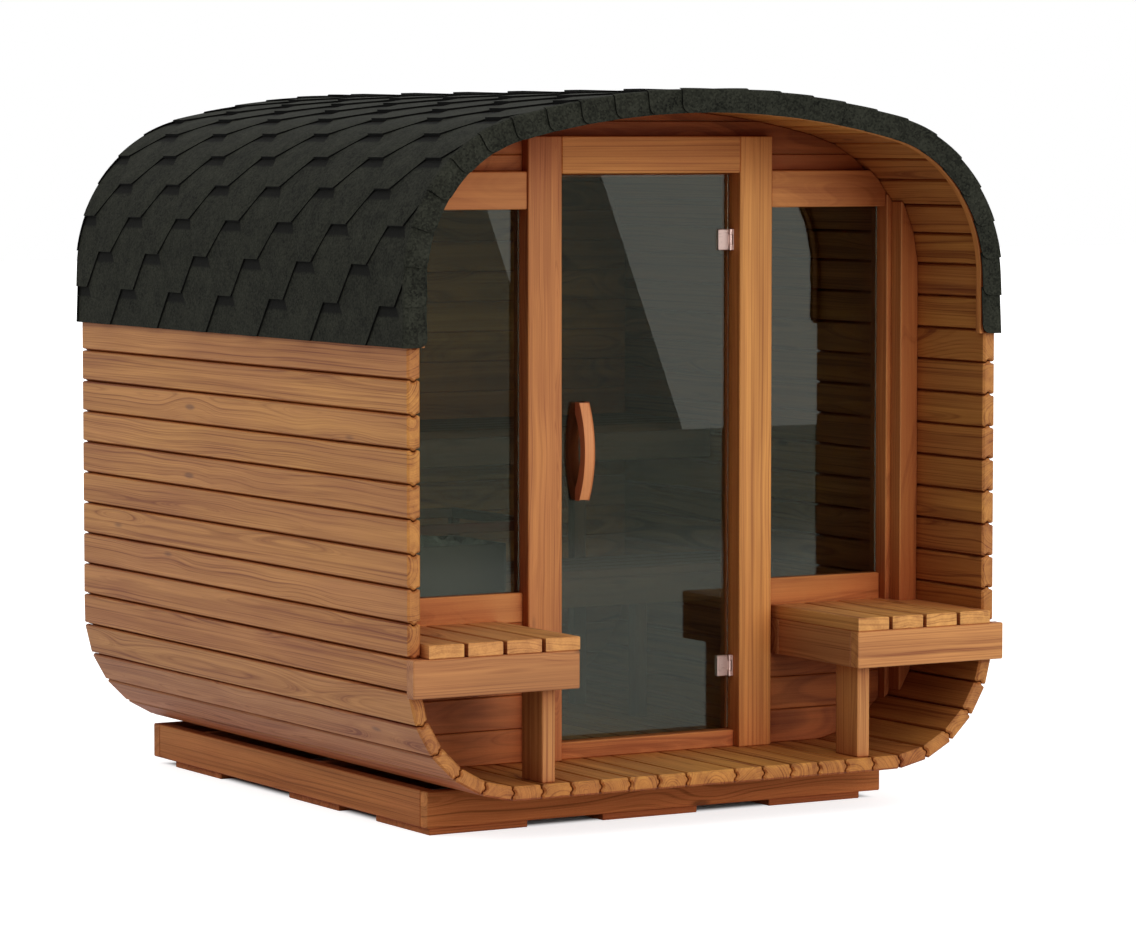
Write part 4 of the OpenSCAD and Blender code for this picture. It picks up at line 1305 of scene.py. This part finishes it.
def stone_tree():
    """Geometry Nodes: rough stones heaped in layers over a rectangle."""
    tree, given = new_group("heap_of_stones", (
        ("Width", "Float"), ("Depth", "Float"), ("Middle", "Vector"), ("Across", "Int"),
        ("Radius", "Float"), ("Seed", "Int"), ("Finish", "Material")), "Heap")
    grid = add(tree, "GeometryNodeMeshGrid", {
        "Size X": given["Width"], "Size Y": given["Depth"], "Vertices X": given["Across"],
        "Vertices Y": given["Across"]})
    nudge = add(tree, "FunctionNodeRandomValue", {
        0: (-0.012, -0.012, -0.012), 1: (0.012, 0.012, 0.012), "Seed": given["Seed"]},
        data_type="FLOAT_VECTOR")
    offset = add(tree, "ShaderNodeVectorMath", {0: nudge, 1: given["Middle"]}, operation="ADD")
    spread = add(tree, "GeometryNodeSetPosition", {
        "Geometry": grid.outputs["Mesh"], "Offset": offset})
    ball = add(tree, "GeometryNodeMeshIcoSphere", {"Radius": given["Radius"], "Subdivisions": 2})
    turn = add(tree, "FunctionNodeRandomValue", {
        0: (0, 0, 0), 1: (6.3, 6.3, 6.3), "Seed": given["Seed"]}, data_type="FLOAT_VECTOR")
    size = add(tree, "FunctionNodeRandomValue", {
        0: (0.7, 0.6, 0.6), 1: (1.2, 1.0, 1.0), "Seed": given["Seed"]}, data_type="FLOAT_VECTOR")
    stones = add(tree, "GeometryNodeInstanceOnPoints", {
        "Points": spread, "Instance": ball.outputs["Mesh"], "Rotation": turn, "Scale": size})
    real = add(tree, "GeometryNodeRealizeInstances", {0: stones})
    lumps = add(tree, "ShaderNodeTexNoise", {"Scale": 22.0, "Detail": 1.0})
    centred = add(tree, "ShaderNodeVectorMath", {
        0: lumps.outputs["Color"], 1: (-0.5, -0.5, -0.5)}, operation="ADD")
    shift = add(tree, "ShaderNodeVectorMath", {0: centred, "Scale": 0.03}, operation="SCALE")
    rough = add(tree, "GeometryNodeSetPosition", {"Geometry": real, "Offset": shift})
    painted = add(tree, "GeometryNodeSetMaterial", {
        "Geometry": rough, "Material": given["Finish"]})
    add(tree, "NodeGroupOutput", {0: painted})
    return tree


def stones(x0, x1, y0, y1, top):
    """Two layers of stones in the heater's basket."""
    made = []
    for layer, depth in enumerate(HEAP_DEPTHS):
        source = new_object("stones", bpy.data.meshes.new("stones"))
        made.append(applied(source, STONES, {
            "Width": x1 - x0 - HEAP_IN, "Depth": y1 - y0 - HEAP_IN,
            "Middle": ((x0 + x1) / 2, (y0 + y1) / 2, top - depth), "Across": 6 - layer,
            "Radius": STONE_R, "Seed": 3 + layer, "Finish": stone}))
    piece_of("heater_stones", joined(made), None)


def heater():
    """A steel heater on legs: a ribbed jacket round a basket of stones."""
    a, b = ends_of("heater")
    wall, leg_w, leg_h, depth = 0.010, 0.040, 0.120, 0.180
    body_z = a.z + leg_h
    basket_z = b.z - depth
    wall_z = basket_z - HEATER_EASE
    boxes = [((a.x, a.y, body_z), (b.x, b.y, basket_z))]
    boxes += [((x, a.y, wall_z), (x + wall, b.y, b.z)) for x in (a.x, b.x - wall)]
    boxes += [((a.x + wall, y, wall_z), (b.x - wall, y + wall, b.z)) for y in (a.y, b.y - wall)]
    boxes += [((x, y, a.z), (x + leg_w, y + leg_w, body_z + HEATER_EASE))
              for x in (a.x, b.x - leg_w) for y in (a.y, b.y - leg_w)]
    boxed_piece("heater_jacket", "heater", steel, HEATER_EASE,
                [(*box, "zxy") for box in boxes])
    rib = Boards()
    rib.box((a.x + RIB_IN, 0.0, 0.0), (b.x - RIB_IN, RIB_T, RIB_H), "xyz", RIB_SUNK)
    ribs = joined([row(rib, steel, RIB_COUNT, (0, y, body_z + RIB_FOOT), (0, 0, RIB_PITCH))
                   for y in (a.y - RIB_T + RIB_SUNK, b.y - RIB_SUNK)])
    piece_of("heater_ribs", ribs, None)
    stones(a.x + wall, b.x - wall, a.y + wall, b.y - wall, b.z)


def guard():
    """Wooden bars on two posts, from the side wall round the heater."""
    a, b = ends_of("heater_guard")
    bar = GUARD_BAR
    sides = (a.y, b.y - bar)
    boxes = []
    for top in (b.z, FLOOR_Z + (b.z - FLOOR_Z) / 2):
        boxes += [((a.x, y, top - bar), (b.x - bar, y + bar, top), "xyz") for y in sides]
        boxes.append(((b.x - bar, a.y + bar, top - bar), (b.x, b.y - bar, top), "yxz"))
    boxes += [((b.x - bar, y, a.z), (b.x, y + bar, b.z), "zxy") for y in sides]
    boxed_piece("heater_rails", "heater_guard", cabin_wood, GUARD_EASE, boxes)


STONES = stone_tree()
cabin_slats("upper_bench_top", "upper_bench_slats", 5)
cabin_frame("upper_bench_bearers", "upper_bench_frame")
cabin_slats("lower_bench_top", "lower_bench_slats", 4)
cabin_frame("lower_bench_bearers", "lower_bench_frame")
heater()
guard()


# ---------------------------------------------------------------- stage, light and camera

def seen(tree):
    """1 for what the camera sees, also through glass and in mirrors, otherwise 0."""
    rays = add(tree, "ShaderNodeLightPath").outputs
    mirrored = add(tree, "ShaderNodeMath", {
        0: rays["Is Glossy Ray"], 1: rays["Is Transmission Ray"]}, operation="MAXIMUM")
    return add(tree, "ShaderNodeMath", {0: rays["Is Camera Ray"], 1: mirrored},
               operation="MAXIMUM")


def floor():
    """A pale matt floor that looks white to the camera outside the shadow."""
    material, tree = new_material("studio_floor")
    # No lift under the base, where only its shadow is seen
    place = add(tree, "ShaderNodeTexCoord").outputs["Object"]
    inside = add(tree, "ShaderNodeVectorMath", {0: place, 1: (0, -SHADOW_Y, 0)}, operation="ADD")
    away = add(tree, "ShaderNodeVectorMath", {0: inside}, operation="ABSOLUTE")
    scaled = add(tree, "ShaderNodeSeparateXYZ", {0: away})
    across = add(tree, "ShaderNodeMath", {0: scaled, 1: SHADOW_HALF_W}, operation="DIVIDE")
    along = add(tree, "ShaderNodeMath", {0: scaled.outputs[1], 1: SHADOW_HALF_LEN},
                operation="DIVIDE")
    farther = add(tree, "ShaderNodeMath", {0: across, 1: along}, operation="MAXIMUM")
    open_floor = add(tree, "ShaderNodeMapRange", {
        0: farther, 1: 0.92, 2: 0.99, 4: FLOOR_LIFT}, interpolation_type="SMOOTHSTEP")
    power = add(tree, "ShaderNodeMath", {0: seen(tree), 1: open_floor}, operation="MULTIPLY")
    matt = add(tree, "ShaderNodeBsdfDiffuse", {0: hexed("DCDCDC")})
    glow = add(tree, "ShaderNodeEmission", {0: (1, 1, 1, 1), 1: power})
    both = add(tree, "ShaderNodeAddShader", {0: matt, 1: glow})
    add(tree, "ShaderNodeOutputMaterial", {0: both})
    near, far = STUDIO_NEAR, STUDIO_FAR
    mesh = bpy.data.meshes.new("studio_floor")
    mesh.from_pydata([(-far, near, 0), (far, near, 0), (far, far, 0), (-far, far, 0)],
                     [], [(0, 1, 2, 3)])
    mesh.materials.append(material)
    new_object("studio_floor", mesh)


def surroundings():
    """Pale studio light, strongest from above, white where the camera looks past it."""
    world = bpy.data.worlds.new("studio")
    bpy.context.scene.world = world
    world.use_nodes = True
    tree = world.node_tree
    tree.nodes.clear()
    towards = add(tree, "ShaderNodeTexCoord").outputs["Generated"]
    parts = add(tree, "ShaderNodeSeparateXYZ", {0: towards})
    ambient = add(tree, "ShaderNodeMapRange", {
        0: parts.outputs[2], 3: AMBIENT_LEVEL, 4: AMBIENT_ABOVE})
    power = add(tree, "ShaderNodeMapRange", {0: seen(tree), 3: ambient, 4: 1.0})
    back = add(tree, "ShaderNodeBackground", {0: (1, 1, 1, 1), 1: power})
    add(tree, "ShaderNodeOutputWorld", {0: back})


def studio_light(name, towards, power, spread):
    """One large soft light, far away in this direction."""
    light = bpy.data.lights.new(name, "SUN")
    light.energy = power
    light.angle = math.radians(spread)
    made = new_object(name, light)
    made.rotation_euler = Vector(towards).to_track_quat("Z", "Y").to_euler()


def dark_cloth(name, outlines, material):
    """Cloth that only the panes and the metal mirror."""
    mesh = bpy.data.meshes.new(name)
    points = [p for outline in outlines for p in outline]
    mesh.from_pydata(points, [], [tuple(range(4 * i, 4 * i + 4)) for i in range(len(outlines))])
    mesh.materials.append(material)
    made = new_object(name, mesh)
    for ray in ("camera", "diffuse", "shadow", "transmission"):
        setattr(made, "visible_" + ray, False)


def cloth(name, near_colour):
    """Black stage molton, which may turn paler towards the object."""
    material, tree = new_material(name)
    place = add(tree, "ShaderNodeTexCoord").outputs["Object"]
    parts = add(tree, "ShaderNodeSeparateXYZ", {0: place})
    nearness = add(tree, "ShaderNodeMapRange", {0: parts.outputs[1], 1: -10.0, 2: -7.0},
                   interpolation_type="SMOOTHSTEP")
    colour = add(tree, "ShaderNodeMix", {
        0: nearness, 6: hexed(CLOTH_DARK), 7: hexed(near_colour)}, data_type="RGBA")
    shader = add(tree, "ShaderNodeBsdfDiffuse", {0: colour.outputs[2]})
    add(tree, "ShaderNodeOutputMaterial", {0: shader})
    return material


def dark_cloths():
    """Two dark cloths at the far side of the studio and one on its floor."""
    y = STUDIO_NEAR
    dark_cloth("dark_flags", [[(x, y, z) for x, z in flag] for flag in FLAGS],
               cloth("molton", CLOTH_DARK))
    ends = rectangle(-STUDIO_FAR, STUDIO_FAR, y, CLOTH_END_Y)
    dark_cloth("floor_cloth", [[(x, y, CLOTH_Z) for x, y in ends]],
               cloth("floor_molton", CLOTH_PALE))


def camera():
    view = bpy.data.cameras.new("camera")
    view.sensor_width = 36
    view.lens = CAMERA_LENS
    view.clip_end = 200
    made = new_object("camera", view)
    made.location = CAMERA_AT
    made.rotation_euler = (math.radians(90 - CAMERA_DOWN), 0, math.radians(CAMERA_TURN))
    bpy.context.scene.camera = made


AMBIENT_LEVEL = 0.20
AMBIENT_ABOVE = 0.90
FLOOR_LIFT = 0.72
STUDIO_NEAR = -16.5     # the floor's near edge in Y, and how far it goes otherwise
STUDIO_FAR = 60.0
SHADOW_Y = 0.13         # middle and half sizes of the dark place under the base
SHADOW_HALF_W = 0.82
SHADOW_HALF_LEN = 0.95
CLOTH_DARK = "303030"
CLOTH_PALE = "BEBEBE"
CLOTH_Z = 0.002
CLOTH_END_Y = -2.2
# Outlines of the two standing cloths, in X and height
FLAGS = (((5.0, 0), (9.045, 0), (7.60, 4), (5.0, 4)),
         ((8.88, 0), (10.08, 0), (9.33, 2), (8.88, 2)))
CAMERA_AT = (-7.3446, -12.7080, 2.0748)
CAMERA_DOWN = 4.1337    # degrees below level, and to the right of the Y axis
CAMERA_TURN = -30.5338
CAMERA_LENS = 144.90
floor()
surroundings()
dark_cloths()
studio_light("key", (0.12, -0.97, 0.22), 1.50, 30)
studio_light("upper", (0.0, -0.72, 0.70), 0.75, 60)
studio_light("fill", (-0.74, 0.40, 0.54), 0.76, 40)
camera()
bpy.context.scene.view_settings.view_transform = "Standard"

bpy.data.objects.remove(RING)
